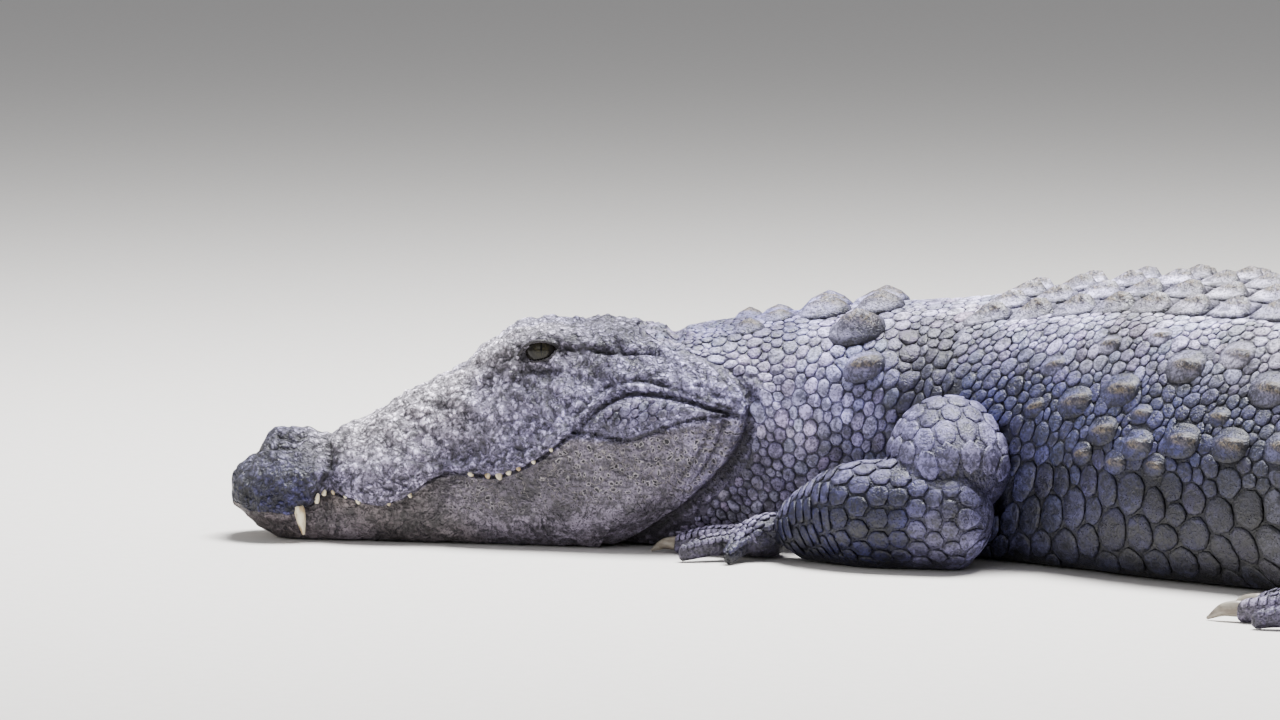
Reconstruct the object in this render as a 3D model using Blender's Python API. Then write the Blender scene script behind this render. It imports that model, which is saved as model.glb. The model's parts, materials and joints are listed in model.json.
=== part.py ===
"""A mugger crocodile lying on its belly: a still, life-size model, parted where a person would name its parts.

Metres, +Z up. The snout is towards -X, the tail towards +X, the animal's left side towards -Y, and the floor is
z = 0. The body is one loft along a curved spine. Every section is drawn through seven named points, from the
midline of the back down to the midline of the belly, and each point follows its own profile along the body.
"""

import math

import bmesh
import bpy
import numpy as np
from mathutils import Matrix, Vector

# ---- driving dimensions -------------------------------------------------------------------------------------
HEAD_END = 0.585  # the ring that runs from the back of the skull table round the jaw's corner to the throat
SHOULDER = 0.80  # places along the spine, measured from the tip of the snout
HIP = 1.70
TAIL_START = 1.90
TAIL_TIP = 3.65
LOW_JAW_START = 0.024  # the lower jaw starts this far behind the snout's tip
NECK_END = 0.80
CHEST_END = 1.22
TAIL_CUTS = (2.35, 2.85)  # where the tail is parted into its three lengths

ORIGIN = (-1.7384, -0.2752)  # where the snout's tip lies, which puts the origin under the middle of the model
GAP = 0.0006  # the thin cut between two neighbours
EYE_RADIUS = 0.0195
EYE_PLACE = (0.3615, 0.0712, 0.2200)  # along the spine, sideways, up
MIDDLE = 0.165  # height at which a leaning ring of the head and neck reaches furthest back


def profile(*knots):
    """A smooth curve through knots of (place along the body, value), which never overshoots between them."""
    place, value = np.array(knots, float).T
    step = np.diff(place)
    slope = np.diff(value) / step
    lean = np.concatenate([slope[:1], np.zeros(len(slope) - 1), slope[-1:]])
    for i in range(1, len(slope)):
        if slope[i - 1] * slope[i] > 0:
            near, far = 2 * step[i] + step[i - 1], step[i] + 2 * step[i - 1]
            lean[i] = (near + far) / (near / slope[i - 1] + far / slope[i])

    def at(where):
        where = np.clip(where, place[0], place[-1])
        i = np.clip(np.searchsorted(place, where) - 1, 0, len(step) - 1)
        t = (where - place[i]) / step[i]
        start = (1 + 2 * t) * (1 - t) ** 2 * value[i] + t * (1 - t) ** 2 * step[i] * lean[i]
        end = t * t * (3 - 2 * t) * value[i + 1] + t * t * (t - 1) * step[i] * lean[i + 1]
        return start + end

    return at


# ---- the body plan: each profile runs from the snout's tip (0) to the tail's tip (3.65) ---------------------
HEADING = profile(  # which way the spine runs, in degrees from +X, seen from above
    (0, 27), (0.60, 26), (0.80, 16), (0.95, 9), (1.05, 2), (1.15, -7), (1.30, -15), (1.70, -20),
    (2.10, -19), (2.70, -4), (3.20, 10), (3.65, 22),
)
TOP = profile(  # midline of the back
    (0, 0.066), (0.008, 0.079), (0.022, 0.092), (0.045, 0.113), (0.062, 0.119), (0.095, 0.119), (0.12, 0.123),
    (0.15, 0.136), (0.18, 0.152), (0.235, 0.181), (0.275, 0.203), (0.31, 0.227), (0.34, 0.235), (0.40, 0.241),
    (0.46, 0.243), (0.585, 0.238), (0.61, 0.244), (0.68, 0.260), (0.75, 0.270), (0.86, 0.279), (0.92, 0.293),
    (1.00, 0.305), (1.12, 0.315), (1.30, 0.317), (1.50, 0.307), (1.70, 0.284), (1.90, 0.246), (2.20, 0.196),
    (2.60, 0.150), (3.00, 0.110), (3.40, 0.062), (3.60, 0.028), (3.65, 0.018),
)
CROWN_OUT = profile(  # edge of the snout's flat, of the skull table and of the shield on the back
    (0, 0.010), (0.02, 0.028), (0.06, 0.036), (0.115, 0.033), (0.17, 0.040), (0.24, 0.047), (0.30, 0.052),
    (0.34, 0.058), (0.38, 0.064), (0.50, 0.070), (0.585, 0.074), (0.70, 0.085), (0.80, 0.095), (1.00, 0.135),
    (1.20, 0.155), (1.50, 0.145), (1.70, 0.115), (1.90, 0.075), (2.20, 0.050), (2.60, 0.030), (3.00, 0.016),
    (3.65, 0.003),
)
CROWN_RISE = profile(  # how far that edge stands above the midline
    (0, -0.007), (0.06, -0.010), (0.17, -0.011), (0.27, -0.006), (0.31, 0.000), (0.345, 0.005), (0.40, 0.004),
    (0.55, 0.000), (0.66, -0.012), (0.80, -0.018), (1.00, -0.024), (1.20, -0.027), (1.50, -0.025),
    (1.75, -0.012), (1.90, -0.004), (2.60, -0.002), (3.65, -0.001),
)
CHEEK_OUT = profile(  # side of the upper jaw, then the upper flank
    (0, 0.016), (0.008, 0.035), (0.02, 0.049), (0.045, 0.063), (0.07, 0.067), (0.095, 0.064), (0.115, 0.056),
    (0.14, 0.069), (0.17, 0.079), (0.20, 0.082), (0.235, 0.082), (0.27, 0.093), (0.31, 0.106), (0.37, 0.121),
    (0.43, 0.134), (0.50, 0.146), (0.56, 0.153), (0.585, 0.147), (0.60, 0.134), (0.66, 0.140), (0.78, 0.165),
    (0.90, 0.200), (1.05, 0.232), (1.25, 0.248), (1.45, 0.240), (1.65, 0.208), (1.85, 0.165), (2.05, 0.128),
    (2.35, 0.094), (2.70, 0.068), (3.10, 0.042), (3.45, 0.020), (3.65, 0.005),
)
CHEEK_UP = profile(
    (0, 0.056), (0.07, 0.060), (0.115, 0.076), (0.17, 0.068), (0.23, 0.090), (0.30, 0.106), (0.37, 0.136),
    (0.42, 0.158), (0.50, 0.176), (0.585, 0.188), (0.70, 0.190), (0.85, 0.188), (1.05, 0.196), (1.40, 0.192),
    (1.70, 0.175), (2.00, 0.140), (2.60, 0.088), (3.20, 0.052), (3.65, 0.012),
)
LIP_OUT = profile(  # mouth line, then the widest line of the flank
    (0, 0.012), (0.008, 0.030), (0.02, 0.045), (0.045, 0.060), (0.07, 0.064), (0.095, 0.060), (0.115, 0.053),
    (0.14, 0.067), (0.17, 0.078), (0.20, 0.081), (0.235, 0.082), (0.27, 0.094), (0.31, 0.109), (0.37, 0.126),
    (0.43, 0.141), (0.50, 0.153), (0.555, 0.159), (0.585, 0.150), (0.60, 0.138), (0.66, 0.146), (0.78, 0.172),
    (0.90, 0.215), (1.05, 0.256), (1.25, 0.280), (1.45, 0.272), (1.65, 0.232), (1.85, 0.175), (2.05, 0.136),
    (2.35, 0.100), (2.70, 0.072), (3.10, 0.045), (3.45, 0.022), (3.65, 0.005),
)
LIP_UP = profile(
    (0, 0.045), (0.03, 0.037), (0.07, 0.033), (0.095, 0.042), (0.115, 0.057), (0.135, 0.052), (0.17, 0.045),
    (0.20, 0.053), (0.232, 0.074), (0.255, 0.084), (0.30, 0.081), (0.335, 0.092), (0.36, 0.106), (0.395, 0.131),
    (0.44, 0.127), (0.50, 0.142), (0.585, 0.156), (0.75, 0.140), (1.05, 0.135), (1.40, 0.132), (1.70, 0.122),
    (2.00, 0.098), (2.60, 0.060), (3.20, 0.036), (3.65, 0.009),
)
JAW_OUT = profile(  # lower jaw, then the belly's side
    (0, 0.006), (0.024, 0.026), (0.07, 0.050), (0.115, 0.058), (0.17, 0.072), (0.23, 0.086), (0.30, 0.105),
    (0.37, 0.125), (0.44, 0.141), (0.52, 0.150), (0.585, 0.140), (0.60, 0.132), (0.68, 0.142), (0.80, 0.176),
    (0.95, 0.228), (1.10, 0.270), (1.25, 0.286), (1.45, 0.276), (1.65, 0.232), (1.85, 0.174), (2.05, 0.130),
    (2.35, 0.093), (2.70, 0.067), (3.10, 0.042), (3.45, 0.020), (3.65, 0.004),
)
JAW_UP = profile(
    (0, 0.040), (0.024, 0.024), (0.07, 0.020), (0.17, 0.026), (0.30, 0.040), (0.44, 0.062), (0.585, 0.070),
    (0.80, 0.062), (1.40, 0.062), (1.90, 0.050), (2.60, 0.030), (3.20, 0.019), (3.65, 0.005),
)
SOLE_OUT = profile(  # edge of the flat that lies on the floor
    (0, 0.003), (0.024, 0.010), (0.07, 0.028), (0.17, 0.050), (0.30, 0.076), (0.44, 0.100), (0.585, 0.088),
    (0.70, 0.108), (0.85, 0.155), (1.05, 0.220), (1.25, 0.246), (1.45, 0.236), (1.70, 0.180), (1.90, 0.122),
    (2.35, 0.060), (2.85, 0.036), (3.30, 0.020), (3.65, 0.002),
)
KEEL = profile((0, 0.043), (0.012, 0.033), (0.024, 0.018), (0.04, 0.007), (0.065, 0), (3.60, 0), (3.65, 0.001))
LEAN = profile((0, 0), (0.40, 0), (0.585, 0.15), (0.74, 0), (3.65, 0))  # how far a ring leans at the throat
TOP_LEAN = 0.55  # the share of that lean at the back of the skull table

# Plates of horn that change the outline.
SHIELD_START, SHIELD_END, SHIELD_ROWS, SHIELD_RISE = 0.885, 1.885, 16, 0.013
CREST_ROWS, CREST_MERGE = 34, 2.72  # rings of scales on the tail, and where its two crests become one
CREST_RISE = profile((1.80, 0.010), (2.00, 0.018), (2.40, 0.030), (2.70, 0.044), (3.20, 0.046), (3.62, 0.020))

SPINE_STEP = 0.005
_spots = np.arange(-0.2, TAIL_TIP + 0.2, SPINE_STEP)
_turns = np.radians(HEADING(_spots))
_run = np.cumsum(np.stack([np.cos(_turns), np.sin(_turns)], 1), 0) * SPINE_STEP
_run += np.array(ORIGIN) - _run[np.searchsorted(_spots, -1e-9)]


def place(along, out, up):
    """Turns (place along the spine, distance to the animal's left, height) into model coordinates."""
    along, out, up = np.broadcast_arrays(*(np.asarray(v, float) for v in (along, out, up)))
    turn = np.radians(HEADING(along))
    x = np.interp(along, _spots, _run[:, 0]) + out * np.sin(turn)
    y = np.interp(along, _spots, _run[:, 1]) - out * np.cos(turn)
    return np.stack([x, y, up], -1)


def section_knots(s):
    """The seven points of the left half of the section at s, as (out, up), top to bottom."""
    top = TOP(s)
    return np.array([
        (0, top), (CROWN_OUT(s), top + CROWN_RISE(s)), (CHEEK_OUT(s), CHEEK_UP(s)), (LIP_OUT(s), LIP_UP(s)),
        (JAW_OUT(s), JAW_UP(s)), (SOLE_OUT(s), KEEL(s)), (0, KEEL(s)),
    ])


def half_section(s, counts, first=0):
    """Points through the knots from number first on, with counts[i] steps between knots first + i and the next."""
    knots = section_knots(s)
    mirror = np.array([-1, 1])
    line = np.vstack([knots[1] * mirror, knots, knots[-2] * mirror])
    reach = np.concatenate([[0], np.cumsum(np.linalg.norm(np.diff(line, axis=0), axis=1) + 1e-6)])
    spots = [reach[1 + first]]
    for i, count in enumerate(counts):
        low, high = reach[1 + first + i], reach[2 + first + i]
        spots += [low + (high - low) * (k + 1) / count for k in range(count)]
    out = profile(*zip(reach, line[:, 0]))(np.array(spots))
    up = profile(*zip(reach, line[:, 1]))(np.array(spots))
    return np.stack([np.maximum(out, 0), np.maximum(up, 0)], 1)


def crest(s):
    """How far the crest stands up at s, between one ring of tail scales and the next, and its two halves' place."""
    phase = (s - SHIELD_END) / (TAIL_TIP - SHIELD_END) * CREST_ROWS % 1.0
    tooth = np.interp(phase, (0, 0.7, 1), (0.12, 1, 0.12))
    return CREST_RISE(s) * tooth if s > SHIELD_END else 0.0


def shield(s, out):
    """How far a plate of the back stands up at (s, out): rows across the back, each of six keeled plates."""
    if not SHIELD_START < s < SHIELD_END:
        return 0.0
    row = math.sin(math.pi * (s - SHIELD_START) / (SHIELD_END - SHIELD_START) * SHIELD_ROWS) ** 2
    return SHIELD_RISE * row * float(np.interp(out / CROWN_OUT(s), (0, 0.16, 0.95, 1.25), (0.55, 1, 1, 0)))


def ring_points(s, half, shift=0.0):
    """A half section in model coordinates, for the left side and for the right, leaning as the head's rings do."""
    out, up = half[:, 0].copy(), half[:, 1].copy()
    rise = np.array([shield(s, o) if u > CHEEK_UP(s) else 0.0 for o, u in half])
    if s > SHIELD_END and up[0] > CHEEK_UP(s) - 0.001:
        rise[0] = crest(s) if s > CREST_MERGE else -0.15 * crest(s)
        edge = int(np.argmin(abs(out - CROWN_OUT(s)) + abs(up - TOP(s) - CROWN_RISE(s))))
        rise[edge] = 0.0 if s > CREST_MERGE else crest(s)
    low = np.clip((MIDDLE - up) / MIDDLE, 0, 1)
    high = np.clip((up - MIDDLE) / (TOP(s) - MIDDLE), 0, 1) if TOP(s) > MIDDLE + 0.02 else 0 * up
    along = s + shift - LEAN(s) * (low**2 + TOP_LEAN * high**2)
    return place(along, out, up + rise), place(along, -out, up + rise)


# ---- making solids ------------------------------------------------------------------------------------------
def material(name, colour, roughness=0.7):
    made = bpy.data.materials.get(name) or bpy.data.materials.new(name)
    made.use_nodes = True
    shader = made.node_tree.nodes["Principled BSDF"]
    shader.inputs["Base Color"].default_value = (*colour, 1)
    shader.inputs["Roughness"].default_value = roughness
    shader.inputs["Metallic"].default_value = 0.0
    return made


HIDE = ("hide", (0.22, 0.22, 0.27), 0.75)
HORN = ("claw_horn", (0.55, 0.52, 0.44), 0.45)
EYE = ("eye_glass", (0.10, 0.10, 0.06), 0.12)


def add_object(name, mesh_data, finish):
    """Links a mesh, given as a bmesh, as the node called name."""
    bmesh.ops.recalc_face_normals(mesh_data, faces=mesh_data.faces)
    mesh = bpy.data.meshes.new(name)
    mesh_data.to_mesh(mesh)
    mesh_data.free()
    mesh.shade_smooth()
    mesh.set_sharp_from_angle(angle=math.radians(50))
    obj = bpy.data.objects.new(name, mesh)
    bpy.context.scene.collection.objects.link(obj)
    mesh.materials.append(material(*finish))
    return obj


def loft(name, halves, finish=HIDE):
    """Closes a row of (left, right) half rings into one solid, with ladders of faces between their two sides."""
    made = bmesh.new()
    rings = []
    for left, right in halves:
        shared = [np.linalg.norm(a - b) < 1e-5 for a, b in zip(left, right)]
        lefts = [made.verts.new(p) for p in left]
        rights = [v if same else made.verts.new(p) for p, v, same in zip(right, lefts, shared)]
        rings.append((lefts, rights))
    for near, far in zip(rings, rings[1:]):
        for side in (0, 1):
            for i in range(len(near[0]) - 1):
                new_face(made, near[side][i], far[side][i], far[side][i + 1], near[side][i + 1])
        for i in (0, -1):  # a cut, as along the mouth, leaves the first or last points apart
            new_face(made, near[0][i], near[1][i], far[1][i], far[0][i])
    for lefts, rights in (rings[0], rings[-1]):
        for i in range(len(lefts) - 1):
            new_face(made, lefts[i], lefts[i + 1], rights[i + 1], rights[i])
    return add_object(name, made, finish)


def new_face(made, *corners):
    corners = list(dict.fromkeys(corners))
    if len(corners) > 2:
        made.faces.new(corners)


def body_loft(name, stations, counts, first=0, squeeze=None, finish=HIDE):
    """Lofts the body between the first and last station. The last ring is pulled forward by the thin cut."""
    halves = []
    for s in stations:
        half = half_section(s, counts, first)
        if squeeze:
            half = squeeze(s, half)
        halves.append(ring_points(s, half, -GAP if s == stations[-1] else 0.0))
    return loft(name, halves, finish)


def swollen(obj, by=2 * GAP):
    """A hidden copy of a solid, a little larger, which cuts a neighbour so that a thin gap is left between them."""
    graph = bpy.context.evaluated_depsgraph_get()
    mesh = bpy.data.meshes.new_from_object(obj.evaluated_get(graph))
    mesh.transform(obj.matrix_world)
    for vertex, normal in [(v, v.normal.copy()) for v in mesh.vertices]:
        vertex.co += normal * by
    copy = bpy.data.objects.new(obj.name + "_cutter", mesh)
    bpy.context.scene.collection.objects.link(copy)
    copy.hide_render = True
    copy.display_type = "WIRE"
    return copy


def combine(obj, other, operation):
    """Applies a Boolean of obj with another object, which is then removed."""
    modifier = obj.modifiers.new(operation.lower(), "BOOLEAN")
    modifier.operation = operation
    modifier.object = other
    graph = bpy.context.evaluated_depsgraph_get()
    graph.update()
    mesh = bpy.data.meshes.new_from_object(obj.evaluated_get(graph))
    obj.modifiers.remove(modifier)
    obj.data = mesh
    bpy.data.objects.remove(other)


def trim(obj, *neighbours):
    """Cuts the neighbours out of obj, leaving the thin gap."""
    for neighbour in neighbours:
        combine(obj, swollen(neighbour), "DIFFERENCE")
    keep_largest(obj)


def keep_largest(obj):
    """Removes crumbs that a cut leaves loose."""
    made = bmesh.new()
    made.from_mesh(obj.data)
    islands, seen = [], set()
    for start in made.verts:
        if start in seen:
            continue
        island, front = set(), [start]
        while front:
            vertex = front.pop()
            if vertex not in island:
                island.add(vertex)
                front += [edge.other_vert(vertex) for edge in vertex.link_edges]
        seen |= island
        islands.append(island)
    largest = max(islands, key=len)
    bmesh.ops.delete(made, geom=[v for v in made.verts if v not in largest], context="VERTS")
    made.to_mesh(obj.data)
    made.free()


def rod(name, points, radii, sides=10, steps=4, finish=HIDE, flat=0.0):
    """A limb or digit: a tube with round ends along a smooth line through points, as wide as radii say.

    radii holds (sideways, up) for each point. flat is the height below which nothing reaches, the floor.
    """
    points, radii = np.array(points, float), np.array(radii, float)
    reach = np.concatenate([[0], np.cumsum(np.linalg.norm(np.diff(points, axis=0), axis=1))])
    curves = [profile(*zip(reach, column)) for column in (*points.T, *radii.T)]
    ends = radii.max(1)[[0, -1]] * 0.85
    inner = np.linspace(ends[0], reach[-1] - ends[1], steps)
    stops = [(-0.0, 0.10), (0.22 * ends[0], 0.62), *[(t, 1.0) for t in inner]]
    stops += [(reach[-1] - 0.22 * ends[1], 0.62), (reach[-1], 0.10)]
    made = bmesh.new()
    rings = []
    for t, share in stops:
        here = np.array([c(t) for c in curves])
        ahead = np.array([c(min(t + 0.01, reach[-1])) - c(max(t - 0.01, 0)) for c in curves[:3]])
        ahead = Vector(ahead).normalized()
        across = ahead.cross(Vector((0, 0, 1))).normalized()
        lift = across.cross(ahead)
        ring = []
        for k in range(sides):
            angle = 2 * math.pi * k / sides
            spot = Vector(here[:3]) + share * (
                across * math.cos(angle) * here[3] + lift * math.sin(angle) * here[4]
            )
            spot.z = max(spot.z, flat)
            ring.append(made.verts.new(spot))
        rings.append(ring)
    for near, far in zip(rings, rings[1:]):
        for k in range(sides):
            made.faces.new((near[k], near[k - 1], far[k - 1], far[k]))
    made.faces.new(rings[0])
    made.faces.new(rings[-1])
    return add_object(name, made, finish)


# ---- head ---------------------------------------------------------------------------------------------------
HEAD_STATIONS = (
    0.0, 0.008, LOW_JAW_START, 0.042, 0.062, 0.084, 0.102, 0.115, 0.128, 0.150, 0.172, 0.196, 0.216, 0.236,
    0.256, 0.280, 0.302, 0.322, 0.345, 0.37, 0.395, 0.425, 0.46, 0.50, 0.55, HEAD_END,
)
MOUTH_CUT = 0.0005  # half of the cut between the jaws
OVERBITE = profile((0, 0.012), (0.024, 0.010), (0.07, 0.008), (0.115, 0.002), (0.17, 0.006), (0.24, 0.003), (0.40, 0))


def upper_only(s, half):
    half[-1, 1] += MOUTH_CUT
    return half


def lower_only(s, half):
    """Tucks the lower jaw in under the upper one."""
    tuck = OVERBITE(s) * np.linspace(1, 0, len(half)) ** 1.5
    half[:, 0] = np.maximum(half[:, 0] - tuck, 0)
    half[0, 1] -= MOUTH_CUT
    return half


def make_head():
    head = body_loft("head", HEAD_STATIONS, (3, 3, 2), squeeze=upper_only)
    jaw_stations = [s for s in HEAD_STATIONS if s >= LOW_JAW_START]
    jaw = body_loft("lower_jaw", jaw_stations, (2, 2, 1), first=3, squeeze=lower_only)
    return head, jaw


def make_nose_disc(head):
    """The raised oval round the nostrils, at the front of the snout's top."""
    disc = rod("disc", [place(0.026, 0, 0.096), place(0.060, 0, 0.116), place(0.104, 0, 0.114)],
               [(0.020, 0.008), (0.031, 0.0145), (0.020, 0.010)], sides=10)
    combine(head, disc, "UNION")


def make_fang(head, jaw, side):
    """The fang that shows outside the closed mouth, behind the widest part of the snout's tip."""
    gum = place(0.080, side * 0.0605, 0.044)
    point = place(0.0865, side * 0.0570, 0.0085)
    fang = rod("fang", [gum, (gum + point) / 2 + [0, 0, 0.001], point],
               [(0.0078, 0.0070), (0.0060, 0.0055), (0.0022, 0.0020)], sides=8)
    combine(head, fang, "UNION")


def make_eye(head, side):
    """An eyeball in its socket, so that about half of it stands out of the head."""
    made = bmesh.new()
    bmesh.ops.create_icosphere(made, subdivisions=2, radius=EYE_RADIUS)
    along, out, up = EYE_PLACE
    made.transform(Matrix.Translation(Vector(place(along, side * out, up))))
    eye = add_object("eye_left" if side > 0 else "eye_right", made, EYE)
    trim(head, eye)


# ---- trunk and tail -----------------------------------------------------------------------------------------
def rows_between(start, end, period, per_row, zero):
    """Stations from start to end that fall on the tops and valleys of rows of plates."""
    step = period / per_row
    first = math.ceil((start - zero) / step + 0.3)
    inner = [zero + step * k for k in range(first, first + 400) if zero + step * k < end - 0.3 * step]
    return [start, *inner, end]


def make_trunk():
    row = (SHIELD_END - SHIELD_START) / SHIELD_ROWS
    counts = (2, 2, 1, 1, 1, 1)
    neck = [HEAD_END, 0.595, 0.62, 0.66, 0.71, 0.76, NECK_END]
    make_neck_plates(body_loft("neck", neck, (3, 3, 2, 2, 2, 1)))
    chest = [NECK_END, 0.825, 0.855, *rows_between(SHIELD_START, CHEST_END, row, 2, SHIELD_START)]
    body_loft("chest", chest, counts)
    body_loft("belly", rows_between(CHEST_END, TAIL_START, row, 2, SHIELD_START), counts)


# Plates on the neck: (along the spine, out to the side, half length, half width, rise), a pair of each.
NECK_PLATES = (
    (0.542, 0.022, 0.018, 0.016, 0.009), (0.590, 0.060, 0.021, 0.018, 0.011), (0.622, 0.026, 0.022, 0.018, 0.008),
    (0.690, 0.027, 0.033, 0.024, 0.021), (0.716, 0.082, 0.034, 0.027, 0.022), (0.752, 0.029, 0.031, 0.025, 0.021),
)


def top_height(along, out):
    """Height of the back at a place along the neck, allowing for how its rings lean."""
    rings = np.linspace(0.5, 1.0, 101)
    ring = float(np.interp(along, rings - TOP_LEAN * LEAN(rings), rings))
    top = half_section(ring, (3, 3))
    return float(np.interp(out, top[:, 0], top[:, 1]))


def make_neck_plates(neck):
    rim = [(-1, 0.0), (0.1, 1.0), (1, 0.0), (0.1, -1.0)]
    for along, out, half_long, half_wide, rise in NECK_PLATES:
        for side in (1, -1):
            made = bmesh.new()
            spots = [(along + half_long * a, out + half_wide * b, -0.010) for a, b in rim]
            spots += [(along - half_long * 0.45, out, rise * 0.75), (along + half_long * 0.4, out, rise)]
            spots.append((along, out, -0.025))
            verts = [made.verts.new(place(a, side * o, top_height(a, o) + up)) for a, o, up in spots]
            for i in range(4):
                new_face(made, verts[i], verts[(i + 1) % 4], verts[6])
                new_face(made, verts[i], verts[(i + 1) % 4], verts[4 if i in (0, 3) else 5])
            for i in (1, 3):
                new_face(made, verts[i], verts[4], verts[5])
            combine(neck, add_object("plate", made, HIDE), "UNION")


def make_tail():
    ring = (TAIL_TIP - SHIELD_END) / CREST_ROWS
    names = ("tail_base", "tail_middle", "tail_end")
    cuts = (TAIL_START, *TAIL_CUTS, TAIL_TIP)
    for name, start, end in zip(names, cuts, cuts[1:]):
        stations = []
        row = math.floor((start - SHIELD_END) / ring)
        while SHIELD_END + ring * row < end:
            stations += [SHIELD_END + ring * (row + share) for share in (0, 0.7)]
            row += 1
        inner = [s for s in stations if start + 0.004 < s < end - 0.004]
        body_loft(name, [start, *inner, end], (1, 1, 1, 1, 1, 1))


# ---- legs ---------------------------------------------------------------------------------------------------
# Joints are (along the spine, out to the side, up). The left legs lie as the animal rests, and the right ones
# are the same legs set a little differently.
FRONT = {
    1: dict(shoulder=(0.836, 0.152, 0.142), bulge=(0.878, 0.237, 0.098), elbow=(0.893, 0.262, 0.062),
            belly=(0.764, 0.254, 0.060), wrist=(0.630, 0.202, 0.032), swing=0),
    -1: dict(shoulder=(0.836, 0.152, 0.142), bulge=(0.882, 0.241, 0.097), elbow=(0.905, 0.275, 0.062),
             belly=(0.790, 0.283, 0.060), wrist=(0.668, 0.262, 0.032), swing=12),
}
HIND = {
    1: dict(hip=(1.78, 0.10, 0.160), knee=(1.615, 0.285, 0.125), ankle=(1.755, 0.352, 0.046), swing=15),
    -1: dict(hip=(1.76, 0.10, 0.160), knee=(1.570, 0.300, 0.125), ankle=(1.745, 0.345, 0.046), swing=24),
}
# Each digit: how it splays outward from the foot's own line in degrees, inner digit first, its length and radius.
FINGERS = ((-12, 0.078, 0.0115), (-3, 0.100, 0.0130), (7, 0.105, 0.0130), (46, 0.084, 0.0120), (94, 0.058, 0.0110))
TOES = ((-17, 0.150, 0.0165), (-5, 0.178, 0.0165), (8, 0.176, 0.0155), (22, 0.146, 0.0135))
CLAWED = 3  # only the three inner digits carry claws
CLAW = 0.036


def turned(direction, degrees):
    return Matrix.Rotation(math.radians(degrees), 3, "Z") @ direction


def make_foot(name, ankle, forward, side, digits, palm, thick, claw_name):
    """A palm with its digits in one node, and a claw in its own node on each clawed digit."""
    heel, front = ankle - forward * 0.010, ankle + forward * palm
    front.z = thick * 0.75
    foot = rod(name, [heel, (heel + front) / 2, front],
               [(thick * 1.25, thick), (thick * 1.7, thick * 0.85), (thick * 1.9, thick * 0.62)],
               sides=10, steps=3)
    claws = []
    for number, (splay, length, radius) in enumerate(digits, 1):
        lead = turned(forward, splay * side)
        spread = max(min(splay / 40, 0.9), -0.9) * thick
        root = ankle + forward * palm * 0.45 + turned(forward, 90 * side) * spread
        root.z = thick * 0.8
        tip = root + lead * length
        tip.z = radius * 0.80
        middle = (root + tip) / 2
        middle.z = radius * 1.6
        end = radius * (0.74 if number <= CLAWED else 0.62)
        digit = rod("digit", [root, middle, tip], [(radius * 1.15,) * 2, (radius,) * 2, (end,) * 2],
                    sides=6, steps=2)
        combine(foot, digit, "UNION")
        if number <= CLAWED:
            back, point = tip - lead * radius * 0.9, tip + lead * CLAW * (radius / 0.0145)
            back.z, point.z = radius * 0.95, 0.0022
            bend = (back + point) / 2
            bend.z = radius * 0.95
            claw = rod(f"{claw_name}_{number}", [back, bend, point],
                       [(radius * 0.52, radius * 0.62), (radius * 0.42, radius * 0.50), (0.0016, 0.0016)],
                       sides=6, steps=2, finish=HORN)
            claws.append(claw)
    for claw in claws:
        trim(claw, foot)
    return foot


def make_front_leg(side, trunk):
    word = "left" if side > 0 else "right"
    pose = FRONT[side]
    shoulder, bulge, elbow, belly, wrist = (
        Vector(place(along, side * out, up))
        for along, out, up in (pose[joint] for joint in ("shoulder", "bulge", "elbow", "belly", "wrist"))
    )
    behind = elbow + (elbow - belly).normalized() * 0.040
    forearm = rod(f"forearm_{word}", [behind, elbow, belly, wrist],
                  [(0.044, 0.046), (0.056, 0.059), (0.053, 0.059), (0.031, 0.027)], sides=10, steps=6)
    upper = rod(f"upper_arm_{word}", [shoulder, bulge, elbow],
                [(0.068, 0.070), (0.070, 0.074), (0.059, 0.061)], sides=12, steps=4)
    forward = wrist - belly
    forward.z = 0
    forward = turned(forward.normalized(), pose["swing"] * side)
    hand = make_foot(f"hand_{word}", wrist, forward, side, FINGERS, 0.060, 0.026, f"claw_hand_{word}")
    trim(upper, *trunk)
    trim(forearm, *trunk)
    trim(upper, forearm)
    trim(hand, *trunk[:1])
    trim(forearm, hand)


def make_hind_leg(side, trunk):
    word = "left" if side > 0 else "right"
    pose = HIND[side]
    hip, knee, ankle = (Vector(place(a, side * o, u)) for a, o, u in (pose["hip"], pose["knee"], pose["ankle"]))
    thigh = rod(f"thigh_{word}", [hip, (hip * 0.5 + knee * 0.5), knee],
                [(0.112, 0.105), (0.098, 0.092), (0.060, 0.066)], sides=10, steps=4)
    shank = rod(f"shank_{word}", [knee, (knee * 0.6 + ankle * 0.4), ankle],
                [(0.058, 0.064), (0.054, 0.056), (0.034, 0.034)], sides=10, steps=4)
    forward = Vector(place(HIP - 0.15, 0, 0) - place(HIP - 0.05, 0, 0))
    forward = turned(forward.normalized(), pose["swing"] * side)
    foot = make_foot(f"foot_{word}", ankle, forward, side, TOES, 0.115, 0.036, f"claw_foot_{word}")
    trim(thigh, *trunk)
    trim(shank, *trunk)
    trim(thigh, shank)
    trim(shank, foot)


def main():
    for old in list(bpy.data.objects):
        bpy.data.objects.remove(old, do_unlink=True)
    head, jaw = make_head()
    make_nose_disc(head)
    for side in (1, -1):
        make_fang(head, jaw, side)
        make_eye(head, side)
    trim(jaw, head)
    make_trunk()
    make_tail()
    trunk = [bpy.data.objects[name] for name in ("neck", "chest", "belly", "tail_base")]
    for side in (1, -1):
        make_front_leg(side, trunk[:2])
        make_hind_leg(side, trunk[1:])


main()
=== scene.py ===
# %% [markdown]
# # A mugger crocodile at rest
#
# The solids give the animal's outline. This lesson dresses them: one skin runs from the snout to the tail's
# tip, plates of horn lie on it, and the eyes, teeth and claws are set into it. The skin could be sculpted by
# hand, but here it follows the same body plan as the solids, so that every fold and scale can be placed by
# numbers.

# %% Start from the solids
import math

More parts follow.
